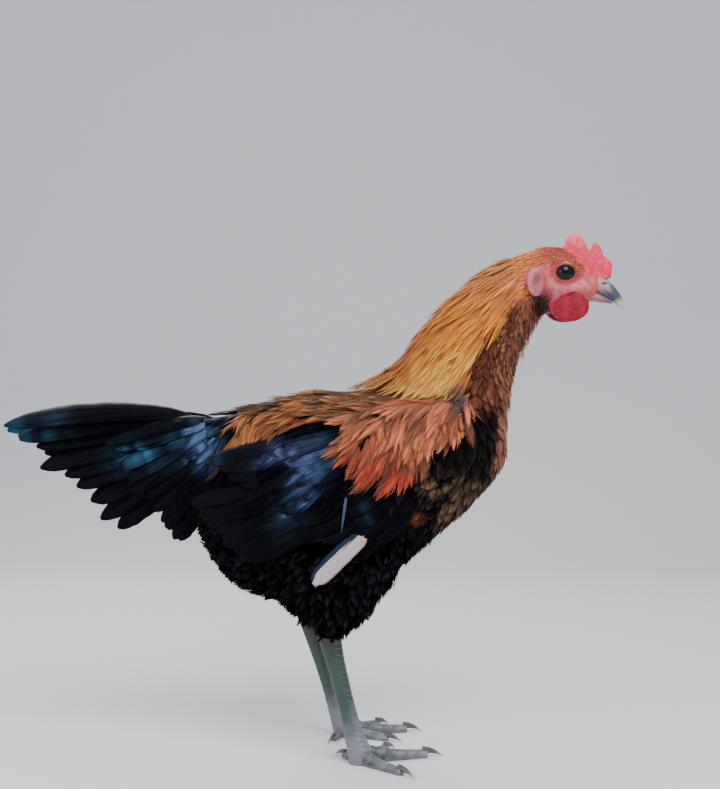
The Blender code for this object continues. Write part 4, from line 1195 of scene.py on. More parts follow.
def lobe_mesh(side):
    """One earlobe: an oval pad with a cup in its middle."""
    shape = ellipsoid_mesh(36, 40)
    x, y, z = shape[..., 0], shape[..., 1], shape[..., 2]
    radius = np.hypot((x - 0.22) / 0.74, (z - 0.05) / 0.78)
    dent = 0.0016 * falling(0.20, 1.0, radius) * (y * side > 0)
    place = np.stack([x * LOBE_RADII[0], y * LOBE_RADII[1] - side * dent, z * LOBE_RADII[2]], -1)
    return loft_mesh(place + np.array(LOBE_CENTRE) * (1, side, 1))


def ball_object(name, centre, radius):
    """A closed ball as an object."""
    rings = ellipsoid_mesh(40, 48) * radius + np.array(centre)
    return mesh_piece(name, *loft_mesh(rings))


def eye_middle(side):
    """The middle of one eyeball and the direction it looks in."""
    place, out = head_spot(*EYE_CENTRE, side)
    return place - out * (EYE_RADIUS - EYE_OUT), out


def head_skin():
    """The skin of head, comb, wattles, lobes and lids, with sockets and fine wrinkles."""
    form = head_form()
    sunk = ([0, 2, 3, form.last], [-5e-3, -2e-3, -6e-4, -3e-4])
    parts = [loft_mesh(form.rings(90, 72, lambda s, angle: np.interp(s, *sunk))), comb_mesh()]
    for side in SIDES.values():
        parts += [lid_mesh(side), wattle_mesh(side), lobe_mesh(side)]
    made = fused("head_skin", parts, 0.00062, 5)
    for side in SIDES.values():
        cut(made, ball_object("socket", eye_middle(side)[0], EYE_RADIUS + 0.00005))
    points, slopes = points_of(made), slopes_of(made)
    eyes = [np.array(head_spot(*EYE_CENTRE, side)[0]) for side in SIDES.values()]
    off = np.min([np.linalg.norm(points - eye, axis=1) for eye in eyes], axis=0)
    rings = np.sin(off * 2 * math.pi / 0.0016) * np.exp(-(((off - 0.0085) / 0.0035) ** 2)) * 0.00014
    face = smoothstep(0.186, 0.192, points[:, 0]) * falling(0.398, 0.402, points[:, 2])
    folds = ripple(points * (0.7, 1.0, 1.6), 0.0032, 11) * 0.00012 * face
    knobs = np.clip(ripple(points, 0.0022, 17), 0, 1) * 0.00016 * smoothstep(0.396, 0.404, points[:, 2])
    move_points(made, points + slopes * (rings * face + folds + knobs)[:, None])
    return made


def crown_height(x):
    """The height of the head's upper line at each x."""
    return along_table(HEAD_ROWS, x)


def forehead_edge(z):
    """Where the feathers of the crown end and the comb's base begins, at each height."""
    return np.interp(z, [0.3821, 0.3919, 0.4064], [0.2265, 0.2199, 0.2058])


def crown_share(points):
    """Where short feathers cover the head: the crown, the nape and a strip behind the lobe."""
    x, z = side_view(points)
    ragged = 0.0014 * ripple(points, 0.005, 3)
    strip = smoothstep(0.3900, 0.3950, z + 0.10 * (x - 0.205) + ragged)
    ahead = 1 - smoothstep(0.7, 1.25, oval(x, z + ragged, (0.2162, 0.3910), (0.0074, 0.0090)))
    eye = oval(x, z, EYE_CENTRE, (0.0098, 0.0078))
    behind = 1 - smoothstep(0.1800, 0.1850, x + 0.25 * (z - 0.372))
    under = falling(0.3630, 0.3680, z) * falling(0.1880, 0.1940, x)
    front = 1 - smoothstep(-0.0008, 0.0008, x + ragged - forehead_edge(z))
    over = np.maximum(strip, ahead) * front * smoothstep(0.95, 1.15, eye)
    return np.clip(over + behind + under, 0, 1)


def face_layers(points, flesh, plumage):
    """The cheek with a painted highlight under the eye, the red rims of the eye, painted shadow of the
    lids, a painted highlight above the eye, the corner of the mouth, and a black patch with painted shadow
    below the ear.
    """
    x, z = side_view(points)
    fleck = smoothstep(0.25, 0.85, ripple(points, 0.0030, 29))
    cheek = soft_oval(x, z, (0.2120, 0.3745), (0.0130, 0.0042))
    cheek = np.maximum(cheek, soft_oval(x, z, (0.1950, 0.3760), (0.0050, 0.0060)))
    eye = oval(x, z, (EYE_CENTRE[0], EYE_CENTRE[1] - 0.0010), (0.0080, 0.0064))
    brow_highlight = np.exp(-(((z - 0.3938 + 0.20 * (x - 0.202)) / 0.0010) ** 2)) * (x > 0.192) * (x < 0.213)
    black_patch_and_shadow = oval(x, z, (0.1862, 0.3572), (0.0062, 0.0068))
    throat = falling(0.3520, 0.3580, z) * falling(0.186, 0.194, x)
    return (
        # Pale mottled cheek skin, with a painted highlight on the band under the eye.
        ("#DDA2A8", (cheek * (0.35 + 0.65 * fleck)).clip(0, 1)),
        ("#94222C", 0.85 * np.exp(-(((eye - 1.30) / 0.42) ** 2))),
        # A thin pale line above the eye: painted highlight.
        ("#DDB0A4", 0.7 * brow_highlight),
        (mixed(plumage.crown, flesh.face, 0.35), crown_share(points)),
        ("#B04854", 0.75 * soft_oval(x, z, (0.2240, 0.3680), (0.0075, 0.0022))),
        # Dark red-brown below the earlobe and behind the wattle: painted shadow.
        ("#74303E", 0.65 * soft_oval(x, z, (0.1900, 0.3680), (0.0070, 0.0065))),
        # Behind the wattle: a dark red halo of painted shadow round a black patch of feathers.
        ("#5A2830", falling(1.0, 2.1, black_patch_and_shadow)),
        ("#0A080B", falling(0.75, 1.15, black_patch_and_shadow)),
        # Near-black round the eyeball: dark lid skin with painted shadow of the lids.
        ("#100A0E", falling(0.90, 1.10, eye)),
        (plumage.brown, 0.9 * throat),
    )


def comb_layer(points, mottle, flesh):
    """The comb's red with its paler points, and the share that it takes."""
    x, z = side_view(points)
    base = smoothstep(-0.0008, 0.0008, x - forehead_edge(z)) * smoothstep(0.379, 0.385, z)
    comb = smoothstep(0.0001, 0.0012, z - crown_height(x)) * (x > 0.2035)
    streak = 0.5 + 0.5 * comb_ridges(x, z, 1.5 * mottle)
    paler = (0.8 * smoothstep(0.404, 0.418, z) + 0.35 * streak - 0.1 + 0.2 * mottle).clip(0, 1)
    return mixed(flesh.comb, flesh.comb_tip, paler), np.maximum(comb, 0.85 * base)


def wattle_layer(points, mottle, flesh):
    """The wattles' crimson with painted shade along its pleats, and the share that it takes."""
    x, y, z = points.T
    across = (x - WATTLE_CENTRE[0]) / WATTLE_RADII[0]
    rise = (z - WATTLE_CENTRE[2] - WATTLE_RISE * (y > 0)) / WATTLE_RADII[2]
    wattle = across**2 + np.where(rise > 0, rise / (WATTLE_TOP + 0.34 * across), rise) ** 2
    off = smoothstep(0.0085, 0.0115, np.abs(y) + 0.6 * (0.352 - z).clip(0, 1))
    flap = falling(1.00, 1.16, wattle) * off
    flap = np.maximum(flap, falling(1.0, 1.2, wattle) * (z < 0.3535))
    # Darker stripes that follow the folds of the wattle's mesh: painted shade.
    pleat_shade = 0.5 + 0.5 * np.sin(11.0 * across / (1.25 - 0.35 * rise) + 0.6 * mottle)
    rim = smoothstep(0.80, 1.02, wattle + 0.06 * mottle)
    return layered(flesh.wattle, ("#5E0418", 0.45 * pleat_shade), ("#D04C68", rim * 0.55)), flap


def lobe_reach(x, z):
    """How far each place is from an earlobe's middle, squared, 1 on its rim."""
    return ((x - LOBE_CENTRE[0]) / LOBE_RADII[0]) ** 2 + ((z - LOBE_CENTRE[2]) / LOBE_RADII[2]) ** 2


def lobe_layer(points, mottle, flesh):
    """The earlobes' rim and cup, and the share that they take."""
    x, y, z = points.T
    inner = oval(x - LOBE_CENTRE[0], z - LOBE_CENTRE[2], (0.0028, -0.0004), (0.0080, 0.0112))
    spot = oval(x - LOBE_CENTRE[0], z - LOBE_CENTRE[2], (0.0010, 0.0012), (0.0034, 0.0048))
    tone = layered(
        flesh.lobe,
        (mixed(flesh.lobe_cup, flesh.pale_face, 0.45), falling(0.72, 1.02, inner)),
        (flesh.lobe_cup, falling(0.3, 1.3, spot + 0.25 * mottle)),
    )
    return tone, (1 - smoothstep(0.95, 1.12, lobe_reach(x, z))) * (np.abs(y) > 0.012)


def head_colours(points, flesh, plumage):
    """The colours of the bare head at each point."""
    mottle = ripple(points, 0.0045, 23)
    parts = [layer(points, mottle, flesh) for layer in (comb_layer, wattle_layer, lobe_layer)]
    colour = mixed(flesh.face, flesh.pale_face, (0.45 + 0.4 * mottle).clip(0, 1))
    return layered(colour, *face_layers(points, flesh, plumage), *parts)


def beak_piece(name, sections, tint, dents):
    """One half of the beak with its colours; dents moves points in by place."""
    form = Form(sections)
    count, sides = 90, 56
    rings = form.rings(count, sides, lambda s, angle: dents(form.skin(s, angle), angle))
    made = mesh_piece(name, *loft_mesh(rings))
    s, angle = ring_grid(1, count, sides)
    paint(made, tint(s, np.cos(angle), rings).reshape(-1, 3))
    return made


def scaled_leg(label, horn):
    """One shank: two ranks of overlapping plates down the front, smaller ones behind, grain between."""
    sections = SHANK_SECTIONS + ANKLE_SECTIONS[1:]
    form = leg_form(sections, label, out=False)
    count, sides = 240, 48
    heights = [0.5 * (row[1] + row[3]) for row in sections]
    top = heights[0]

    def ladder(s, pitch, shift=0.0):
        fallen = top - np.interp(s, np.arange(len(heights)), heights)
        return (fallen + shift * pitch) / top * (top / pitch) % 1.0

    def front_plates(s, angle):
        front = smoothstep(0.10, 0.45, -np.cos(angle))
        return front, ladder(s, 0.0042, 0.5 * (np.sin(angle) > 0))

    def relief(s, angle):
        front, plate = front_plates(s, angle)
        back = smoothstep(0.35, 0.65, np.cos(angle))
        seam = np.exp(-((np.sin(angle) / 0.10) ** 2)) * front
        return front * (0.00055 * plate - 0.0002) + back * 0.00030 * ladder(s, 0.0029) - 0.00025 * seam

    rings = form.rings(count, sides, relief)
    rings[..., 2] = np.maximum(rings[..., 2], 0.0)
    front, plate = front_plates(*ring_grid(form.last, count, sides))
    height = rings[..., 2]
    cloud = ripple(rings, 0.009, 31)
    low = smoothstep(0.045, 0.008, height - 0.008 * front + 0.004 * cloud)
    colour = layered(
        horn.leg,
        (horn.toe, (smoothstep(0.088, 0.050, height) + 0.25 * cloud).clip(0, 1)),
        # Near-black towards the hock: painted shade under the belly's fluff.
        ("#0C1410", 0.85 * smoothstep(0.074, 0.094, height)),
        (horn.foot, (0.9 * low).clip(0, 1)),
        ("#8C9098", 0.25 * front * smoothstep(0.80, 0.97, plate)),
        ("#161C20", 0.55 * front * falling(0.02, 0.14, plate)),
    )
    return loft_mesh(rings), colour.reshape(-1, 3)


def toe_meshes(label, toe, horn):
    """One toe with plates along its top and pads under it, and its curved claw, with their colours."""
    side = SIDES[label]
    shift, _, headings = STANCES[label]
    length, radius, plates = TOES[toe]
    turn = math.radians(headings[toe])
    ahead = np.array([math.cos(turn), -side * math.sin(turn), 0.0])
    across = np.array([-ahead[1], ahead[0], 0.0])
    up = np.array([0.0, 0.0, 1.0])
    root = np.array([FOOT_CENTRE + shift, side * STANCE, 0.0])

    def placed(along, aside, height):
        return root + ahead * along[..., None] + across * aside[..., None] + up * height[..., None]

    t, a = ring_grid(0.995, plates * 9, 28, 0.5)
    broad = radius * (1 - 0.36 * t) * (1 + 0.10 * np.cos(2 * math.pi * 3 * t))
    tall = radius * (1 - 0.36 * t) + 0.75 * radius * (1 - t) ** 3
    plate = (t * plates) % 1.0
    top = smoothstep(0.15, 0.55, np.sin(a))
    grown = top * (0.11 * radius * plate - 0.04 * radius)
    rings = placed(length * t, broad * np.cos(a), 0.86 * tall + (tall + grown) * np.sin(a))
    rings[..., 2] = np.maximum(rings[..., 2], 0.0)
    colour = layered(
        horn.toe,
        (horn.foot, (0.15 + 0.7 * t + 0.3 * ripple(rings, 0.009, 37)).clip(0, 1)),
        ("#8E9698", 0.25 * top * smoothstep(0.76, 0.97, plate)),
        ("#161E20", 0.50 * top * falling(0.02, 0.16, plate)),
        ("#7A7068", 0.7 * (np.sin(a) < -0.45)),
    )
    t, a = ring_grid(1, 30, 20, 0.5)
    size = 0.52 * radius * (1 - t) ** 0.75 + 0.0003
    height = 0.56 * radius * (1 - t**2.2) + 0.10 * radius * np.sin(math.pi * t)
    reach = 0.95 * length + (CLAW_LENGTH + 0.0003 + 0.05 * length) * t
    claw = placed(reach, 0.8 * size * np.cos(a), height + size + size * np.sin(a))
    horny = mixed(horn.claw, linear("#A79C8E"), smoothstep(0.55, 1.0, t))
    return (loft_mesh(rings), colour.reshape(-1, 3)), (loft_mesh(claw), horny.reshape(-1, 3))


def painted_piece(name, made_parts):
    """One piece of several coloured lofts."""
    made = mesh_piece(name, *joined([mesh for mesh, _ in made_parts]))
    paint(made, np.concatenate([colour for _, colour in made_parts]))
    return made


def quill_line(side, root, tip, lift, droop, stations):
    """The line of a feather that lies on the folded wing, and its outward directions."""
    t = np.linspace(0, 1, stations)
    x = root[0] + (tip[0] - root[0]) * t
    z = root[1] + (tip[1] - root[1]) * t + droop * 4 * t * (t - 1)
    rise = np.minimum(1.0, t / 0.40)
    out = np.minimum(0.0012, lift) * (1 - rise) + lift * rise
    return flank_place(x, z, side, out), flank_slope(x, z, side), rise


def tilted(line, outs, degrees):
    """The outward directions turned about the lines by an angle for each station."""
    ahead = unit(np.gradient(line, axis=0))
    across = np.cross(ahead, outs)
    turn = np.radians(degrees)[:, None]
    return outs * np.cos(turn) + across * np.sin(turn)


def tail_line(side, row, stations):
    """The line of one tail feather, and its outward direction."""
    x, z, heading, length, _, bend, out_root, out_tip, lean = row
    t = np.linspace(0, 1, stations)
    turn, tilt = math.radians(heading), math.radians(lean)
    line = np.stack(
        [
            x - length * t * math.cos(turn),
            side * (out_root + (out_tip - out_root) * t),
            z + length * t * math.sin(turn) - bend * t * t,
        ],
        -1,
    )
    outs = np.tile(np.array([0.0, side * math.cos(tilt), math.sin(tilt)]), (stations, 1))
    return line, outs


STORE = {}


def hide():
    """The body's skin, which the coat grows on."""
    if "hide" not in STORE:
        raise RuntimeError("the skin is made before the coat")
    return STORE["hide"]


def combed_coat(
    coat, seed, spacing, keep, length, width, lifts, tint, form, outline=LANCE,
    leaf=True, strands=0, stations=7, splay=0.0, sway=0.10, variety=0.14, **fine,
):
    """Adds a patch of feathers to the coat: leaves with fine strands fanning out of each."""
    draw = np.random.default_rng(seed)
    roots = hide().scatter(spacing, keep, seed)
    lengths = length(roots) if callable(length) else np.full(len(roots), length)
    lengths = lengths * draw.uniform(0.82, 1.15, len(roots))
    line, outs = hide().combed(roots, lengths, lifts, splay, sway, stations, seed + 1)
    colours = spotted(line, tint(line)) * varied(draw, len(roots), variety)[:, None]
    places = form.rolled_out(roots)
    widths = (width(roots) if callable(width) else width) * draw.uniform(0.85, 1.15, len(roots))
    if leaf:
        add_leaves(coat, line, outs, widths, outline, colours, places, seed + 2)
    if strands:
        add_strands(coat, line, outs, widths, strands, colours, places, seed + 3, **fine)


def shaded_tint(root_colour, tip_colour, start=0.35):
    """A tint from a root colour to a tip colour, both functions of the places of the feathers' hearts."""

    def tint(line):
        stations = line.shape[1]
        heart = line[:, int(0.65 * stations)]
        share = smoothstep(start, 1.0, np.linspace(0, 1, stations))[None]
        return mixed(root_colour(heart)[:, None], tip_colour(heart)[:, None], share)

    return tint


def gloss_tint(plumage):
    """A tint of the black plumage with the light that it catches."""
    return lambda line: black_gloss(line, plumage, 1.0)


class GAMECOCK_OT_skin(bpy.types.Operator):
    """Makes the one skin under the coat, with the bare head"""

    bl_idname = "gamecock.skin"
    bl_label = "Skin and bare head"

    def execute(self, context):
        scene = context.scene
        body = body_skin(scene.gamecock_coat.depth)
        STORE["hide"] = Hide(body)
        head = head_skin()
        STORE["head"] = Hide(head)
        body_points, head_points = points_of(body), points_of(head)
        # The skin under the coat takes the plumage's colours, darkened as painted shade between the feathers.
        under = spotted(body_points, markings(body_points, scene.gamecock_plumage)) * 0.75
        bare = head_colours(head_points, scene.gamecock_flesh, scene.gamecock_plumage)
        with context.temp_override(active_object=body, selected_editable_objects=[body, head]):
            bpy.ops.object.join()
        body.name = "skin"
        paint(body, np.concatenate([under, bare]))
        flesh = skin_material("living_skin", 0.46, 0.9, 0.55)
        finish_piece(body, flesh, "face_skin", "torso", "neck", "head", "thigh_right", "thigh_left", "comb")
        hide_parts("wattle_right", "wattle_left", "earlobe_right", "earlobe_left")
        return {"FINISHED"}


class GAMECOCK_OT_eyes(bpy.types.Operator):
    """Makes the eyeballs"""

    bl_idname = "gamecock.eyes"
    bl_label = "Eyes"

    def execute(self, context):
        flesh = context.scene.gamecock_flesh
        wet = eye_material()
        for label, side in SIDES.items():
            middle, out = eye_middle(side)
            made = ball_object("eye_" + label + "_ball", middle, EYE_RADIUS)
            off = unit(points_of(made) - np.array(middle)) @ np.array(out)
            angle = np.degrees(np.arccos(np.clip(off, -1, 1)))
            iris = mixed(flesh.eye, linear("#1C1418"), smoothstep(24, 40, angle) * 0.5)
            colours = mixed(linear("#020204"), iris, smoothstep(23, 26, angle))
            paint(made, mixed(colours, linear("#0C080A"), smoothstep(44, 50, angle)))
            finish_piece(made, wet, "eye", "eye_" + label)
        return {"FINISHED"}


class GAMECOCK_OT_beak(bpy.types.Operator):
    """Makes the two halves of the beak"""

    bl_idname = "gamecock.beak"
    bl_label = "Beak"

    def execute(self, context):
        flesh = context.scene.gamecock_flesh
        horn = horn_material("beak_keratin", 0.50, 2.2, 0.12)
        over_nostril = (NOSTRIL[0], NOSTRIL[1] + 0.0016)

        def upper_dents(place, angle):
            x, z = side_view(place)
            hole = soft_oval(x, z, NOSTRIL, (0.0024, 0.0011), 3)
            shelf = soft_oval(x, z, over_nostril, (0.0042, 0.0016))
            ridge = 0.0003 * np.exp(-((np.sin(angle) / 0.22) ** 2)) * (np.cos(angle) > 0)
            return 0.0005 * shelf - 0.0012 * hole + ridge - 0.0002

        def upper_tint(t, up, rings):
            # Dark band along the upper beak's lower edge, where it meets the lower one: painted shade.
            mouth_line_shade = np.exp(-(((up + 0.58) / 0.36) ** 2)) * smoothstep(0.06, 0.20, t)
            hole = soft_oval(rings[..., 0], rings[..., 2], NOSTRIL, (0.0028, 0.0012), 3)
            return layered(
                flesh.beak,
                ("#A88A92", (0.5 + 0.5 * ripple(rings, 0.006, 41)).clip(0, 1)),
                (flesh.beak_dark, smoothstep(0.38, 0.58, t + 0.10 * up)),
                ("#332A46", 0.90 * mouth_line_shade * falling(0.62, 0.80, t)),
                ("#B0787E", falling(0.22, 0.44, t + 0.05 * up)),
                # Near-black in the nostril: painted shade inside the opening.
                ("#1E141C", 0.95 * hole),
                (flesh.beak_tip, smoothstep(0.68, 0.86, t - 0.06 * up)),
            )

        def lower_tint(t, up, rings):
            # Darker upper part of the lower beak, tucked under the upper one: painted shade.
            dark = 0.9 * smoothstep(0.40, 0.80, up)
            return layered(linear("#A0646A"), ("#5E5462", smoothstep(0.35, 0.8, t)), ("#2C2238", dark))

        def lower_dents(place, angle):
            return np.full(angle.shape, -0.0003)

        upper = beak_piece("beak_upper_horn", UPPER_BEAK_SECTIONS, upper_tint, upper_dents)
        lower = beak_piece("beak_lower_horn", LOWER_BEAK_SECTIONS, lower_tint, lower_dents)
        finish_piece(upper, horn, "beak_horn", "beak_upper")
        finish_piece(lower, horn, "beak_horn", "beak_lower")
        return {"FINISHED"}


class GAMECOCK_OT_legs(bpy.types.Operator):
    """Makes the scaled shanks, feet and claws"""

    bl_idname = "gamecock.legs"
    bl_label = "Legs and claws"

    def execute(self, context):
        horn = context.scene.gamecock_flesh
        scales = horn_material("leg_scale_keratin", 0.42, 1.3, 0.35)
        claw_horn = horn_material("claw_keratin", 0.30, 3.0, 0.08)
        for label in SIDES:
            leg_parts = [scaled_leg(label, horn)]
            for toe in TOES:
                toe_part, claw_part = toe_meshes(label, toe, horn)
                leg_parts.append(toe_part)
                claw = painted_piece(f"horn_{toe}_{label}", [claw_part])
                finish_piece(claw, claw_horn, "claw_horn", f"claw_{toe}_{label}")
            leg = painted_piece(f"scaled_leg_{label}", leg_parts)
            finish_piece(leg, scales, "leg_scales", "shank_" + label, "foot_" + label)
        return {"FINISHED"}


class GAMECOCK_OT_body_coat(bpy.types.Operator):
    """Combs the breast, the front of the neck and the soft black belly and thighs"""

    bl_idname = "gamecock.body_coat"
    bl_label = "Breast, belly and thighs"

    def execute(self, context):
        sizes, plumage = context.scene.gamecock_coat, context.scene.gamecock_plumage
        torso, neck = torso_form(), Form(NECK_SECTIONS)
        soft = feather_material("breast_feather_keratin", 0.75, 0.04, 0.22, "#A09488", barb_depth=0.12)
        down = feather_material("down_keratin", 0.85, 0.0, 0.0, "#6C7080", barb_depth=0.12)
        by_place = hem_markings(plumage, False)

        def paler_tip(roots):
            return np.clip(by_place(roots) * 1.25, 0, 1)

        def ahead_of(roots):
            return by_place(roots + np.array((0.009, 0, 0)) * smoothstep(0.286, 0.296, roots[:, 2])[:, None])

        def soft_black(roots):
            return by_place(roots) + linear("#1E161E")

        def in_front(points):
            x, z = side_view(points)
            low = (z < hem_height(x) + 0.003) | (x > 0.115)
            return smoothstep(0.066, 0.080, x + 0.25 * (z - 0.20)) * (z < 0.300) * (x > 0.05) * low

        def on_throat(points):
            x, z = side_view(points)
            return ((z > 0.255) & (x > hackle_edge(z) - 0.005)).astype(float)

        def under_chin(points):
            return on_throat(points) * (points[:, 2] > 0.326) * (points[:, 0] > 0.160)

        def below(points):
            x, z = side_view(points)
            free = (z < along_table(FLUFF_EDGE, x)) & (z < 0.222 + 0.25 * x)
            return ((x < 0.100) & free & (z > 0.0985)).astype(float)

        def fluff_width(roots):
            return np.interp(roots[:, 2], [0.100, 0.140], [0.0030, 0.0062])

        def fluff_length(roots):
            return sizes.fluff * np.interp(roots[:, 2], [0.101, 0.120], [0.50, 1.0])

        def undercoat_length(roots):
            return 0.75 * fluff_length(roots)

        breast = Coat("breast_feathers")
        combed_coat(
            breast, sizes.seed + 10, 0.0052, in_front, sizes.breast, 0.0098, (-0.0008, 0.0042),
            shaded_tint(by_place, paler_tip), torso, OVAL, strands=11, sway=0.14, variety=0.24, thin=0.00036,
        )
        finish_piece(breast.built(), soft, "body_plumage")
        throat = Coat("throat_feathers")
        fine = {"stations": 5, "sway": 0.20, "variety": 0.26, "thin": 0.00036, "starts": (0.0, 0.5)}
        combed_coat(
            throat, sizes.seed + 20, 0.0041, on_throat, sizes.throat, 0.0038, (-0.0004, 0.0026),
            shaded_tint(ahead_of, ahead_of), neck, OVAL, strands=7, **fine,
        )
        combed_coat(
            throat, sizes.seed + 25, 0.0036, under_chin, 0.0130, 0.0050, (0.0004, 0.0062),
            shaded_tint(by_place, paler_tip), neck, leaf=False, strands=9, **fine,
        )
        finish_piece(throat.built(), soft, "hackle_plumage")
        patches = (("belly_fluff_front", 0.020, 0.2, 0.0050), ("belly_fluff_rear", -0.2, 0.020, 0.0056))
        for number, (name, low, high, spacing) in enumerate(patches):

            def part(points, low=low, high=high):
                return below(points) * (points[:, 0] >= low) * (points[:, 0] < high)

            seed = sizes.seed + 30 + 10 * number
            fluff = Coat(name)
            combed_coat(
                fluff, seed, spacing, part, fluff_length, fluff_width, (-0.0006, 0.0058),
                shaded_tint(by_place, soft_black), torso, OVAL, strands=7, stations=5, sway=0.32,
                variety=0.30, thin=0.00050, spread=2.0, starts=(0.0, 0.6),
            )
            combed_coat(
                fluff, seed + 5, 0.0042, part, undercoat_length, 0.0080, (0.0002, 0.0022),
                shaded_tint(by_place, by_place), torso, OVAL, stations=5, sway=0.2,
            )
            finish_piece(fluff.built(), down, "thigh_plumage")
        return {"FINISHED"}


class GAMECOCK_OT_cape(bpy.types.Operator):
    """Combs the orange shoulders and back, and the saddle that hangs over the rump"""

    bl_idname = "gamecock.cape"
    bl_label = "Cape, back and saddle"

    def execute(self, context):
        sizes, plumage = context.scene.gamecock_coat, context.scene.gamecock_plumage
        torso = torso_form()
        satin = feather_material("satin_feather_keratin", 0.55, 0.22, 0.40, "#FFE2C4")
        by_place = hem_markings(plumage, True)

        def dark_middle(roots):
            high = 0.45 * smoothstep(0.262, 0.280, roots[:, 2]) * falling(0.055, 0.080, roots[:, 0])
            share = (0.22 + high + 0.50 * ripple(roots, 0.010, 51)).clip(0, 0.85)
            return mixed(by_place(roots), plumage.brown, share)

        def shoulder(points):
            x, z = side_view(points)
            above = z > hem_height(x) + np.interp(x, [0.095, 0.110], [0.60, 0.72]) * sizes.cape
            upper = (z > 0.266) & (x > -0.006)
            return (above & (upper | (x > 0.034)) & (x < 0.126) & (z < 0.312)).astype(float)

        def lying(roots):
            flat = 1 - 0.85 * smoothstep(0.274, 0.292, roots[:, 2]) * smoothstep(0.020, 0.040, roots[:, 0])
            return 0.0028 * flat, 0.0086 * flat

        def rear(points):
            x, z = side_view(points)
            above = z > np.minimum(hem_height(x) + 0.55 * sizes.saddle, 0.262)
            last = np.interp(z, [0.250, 0.268], [-0.060, -0.045])
            return (above & (x <= 0.004) & (x > last)).astype(float)

        def hanging(roots):
            return np.interp(roots[:, 0], [-0.06, -0.03, 0.0], [0.92, 0.76, 0.62]) * sizes.saddle

        tint = shaded_tint(dark_middle, by_place)
        cape = Coat("cape_feathers")
        combed_coat(
            cape, sizes.seed + 60, 0.0054, shoulder, sizes.cape, 0.0070, lying, tint, torso,
            strands=15, sway=0.20, variety=0.18, thin=0.00046, spread=1.9,
        )
        finish_piece(cape.built(), satin, "body_plumage")
        saddle = Coat("saddle_feathers")
        combed_coat(
            saddle, sizes.seed + 70, 0.0052, rear, hanging, 0.0058, (0.0006, 0.0074), tint, torso,
            strands=15, stations=8, splay=0.35, sway=0.18, variety=0.22, thin=0.00044, spread=1.9,
        )
        finish_piece(saddle.built(), satin, "body_plumage")
        return {"FINISHED"}


class GAMECOCK_OT_hackle(bpy.types.Operator):
    """Combs the long golden feathers of the neck"""

    bl_idname = "gamecock.hackle"
    bl_label = "Hackle"

    def execute(self, context):
        sizes, plumage = context.scene.gamecock_coat, context.scene.gamecock_plumage
        neck = Form(NECK_SECTIONS)
        silky = feather_material("silky_feather_keratin", 0.46, 0.25, 0.50, "#FFE9BE")

        def behind(points):
            x, z = side_view(points)
            ahead = 0.005 - 0.009 * smoothstep(0.335, 0.358, z)
            return ((x < np.minimum(hackle_edge(z) + ahead, 0.169)) & (z > 0.300)).astype(float)

        def middle_colour(roots):
            up = smoothstep(0.320, 0.378, roots[:, 2])
            darker = 1 - 0.18 * (ripple(roots, 0.010, 61) > 0.45)
            return mixed(plumage.gold, plumage.nape, up) * darker[:, None]

        def at_rear(roots):
            back_of_neck = 0.068 + 0.76 * (roots[:, 2] - 0.305)
            near = falling(0.004, 0.020, roots[:, 0] - back_of_neck)
            return near * falling(0.335, 0.360, roots[:, 2])

        def root_colour(roots):
            return mixed(middle_colour(roots), plumage.throat, 0.15 + 0.35 * at_rear(roots))

        def tip_colour(roots):
            return layered(
                # Paler yellow on the lowest tips: paler gold with a painted highlight.
                linear("#FFC652"),
                (plumage.gold_tip, smoothstep(0.296, 0.335, roots[:, 2])),
                (plumage.back, 0.75 * at_rear(roots)),
                (plumage.nape, 0.75 * smoothstep(0.338, 0.380, roots[:, 2])),
            )

        def long_low(roots):
            share = np.interp(roots[:, 2], [0.30, 0.33, 0.36, 0.385, 0.402], [0.72, 1.0, 0.95, 0.70, 0.40])
            return sizes.hackle * share * (1 + 0.35 * at_rear(roots))

        patches = (("hackle_lower", 0.0, 0.348), ("hackle_upper", 0.348, 0.5))
        for number, (name, low, high) in enumerate(patches):

            def part(points, low=low, high=high):
                return behind(points) * (points[:, 2] >= low) * (points[:, 2] < high)

            coat = Coat(name)
            combed_coat(
                coat, sizes.seed + 80 + 10 * number, 0.0043, part, long_low, 0.0034, (0.0004, 0.0062),
                shaded_tint(root_colour, tip_colour, 0.30), neck, strands=14, stations=8, variety=0.12,
                thin=0.00040, spread=2.1,
            )
            finish_piece(coat.built(), silky, "hackle_plumage")
        return {"FINISHED"}


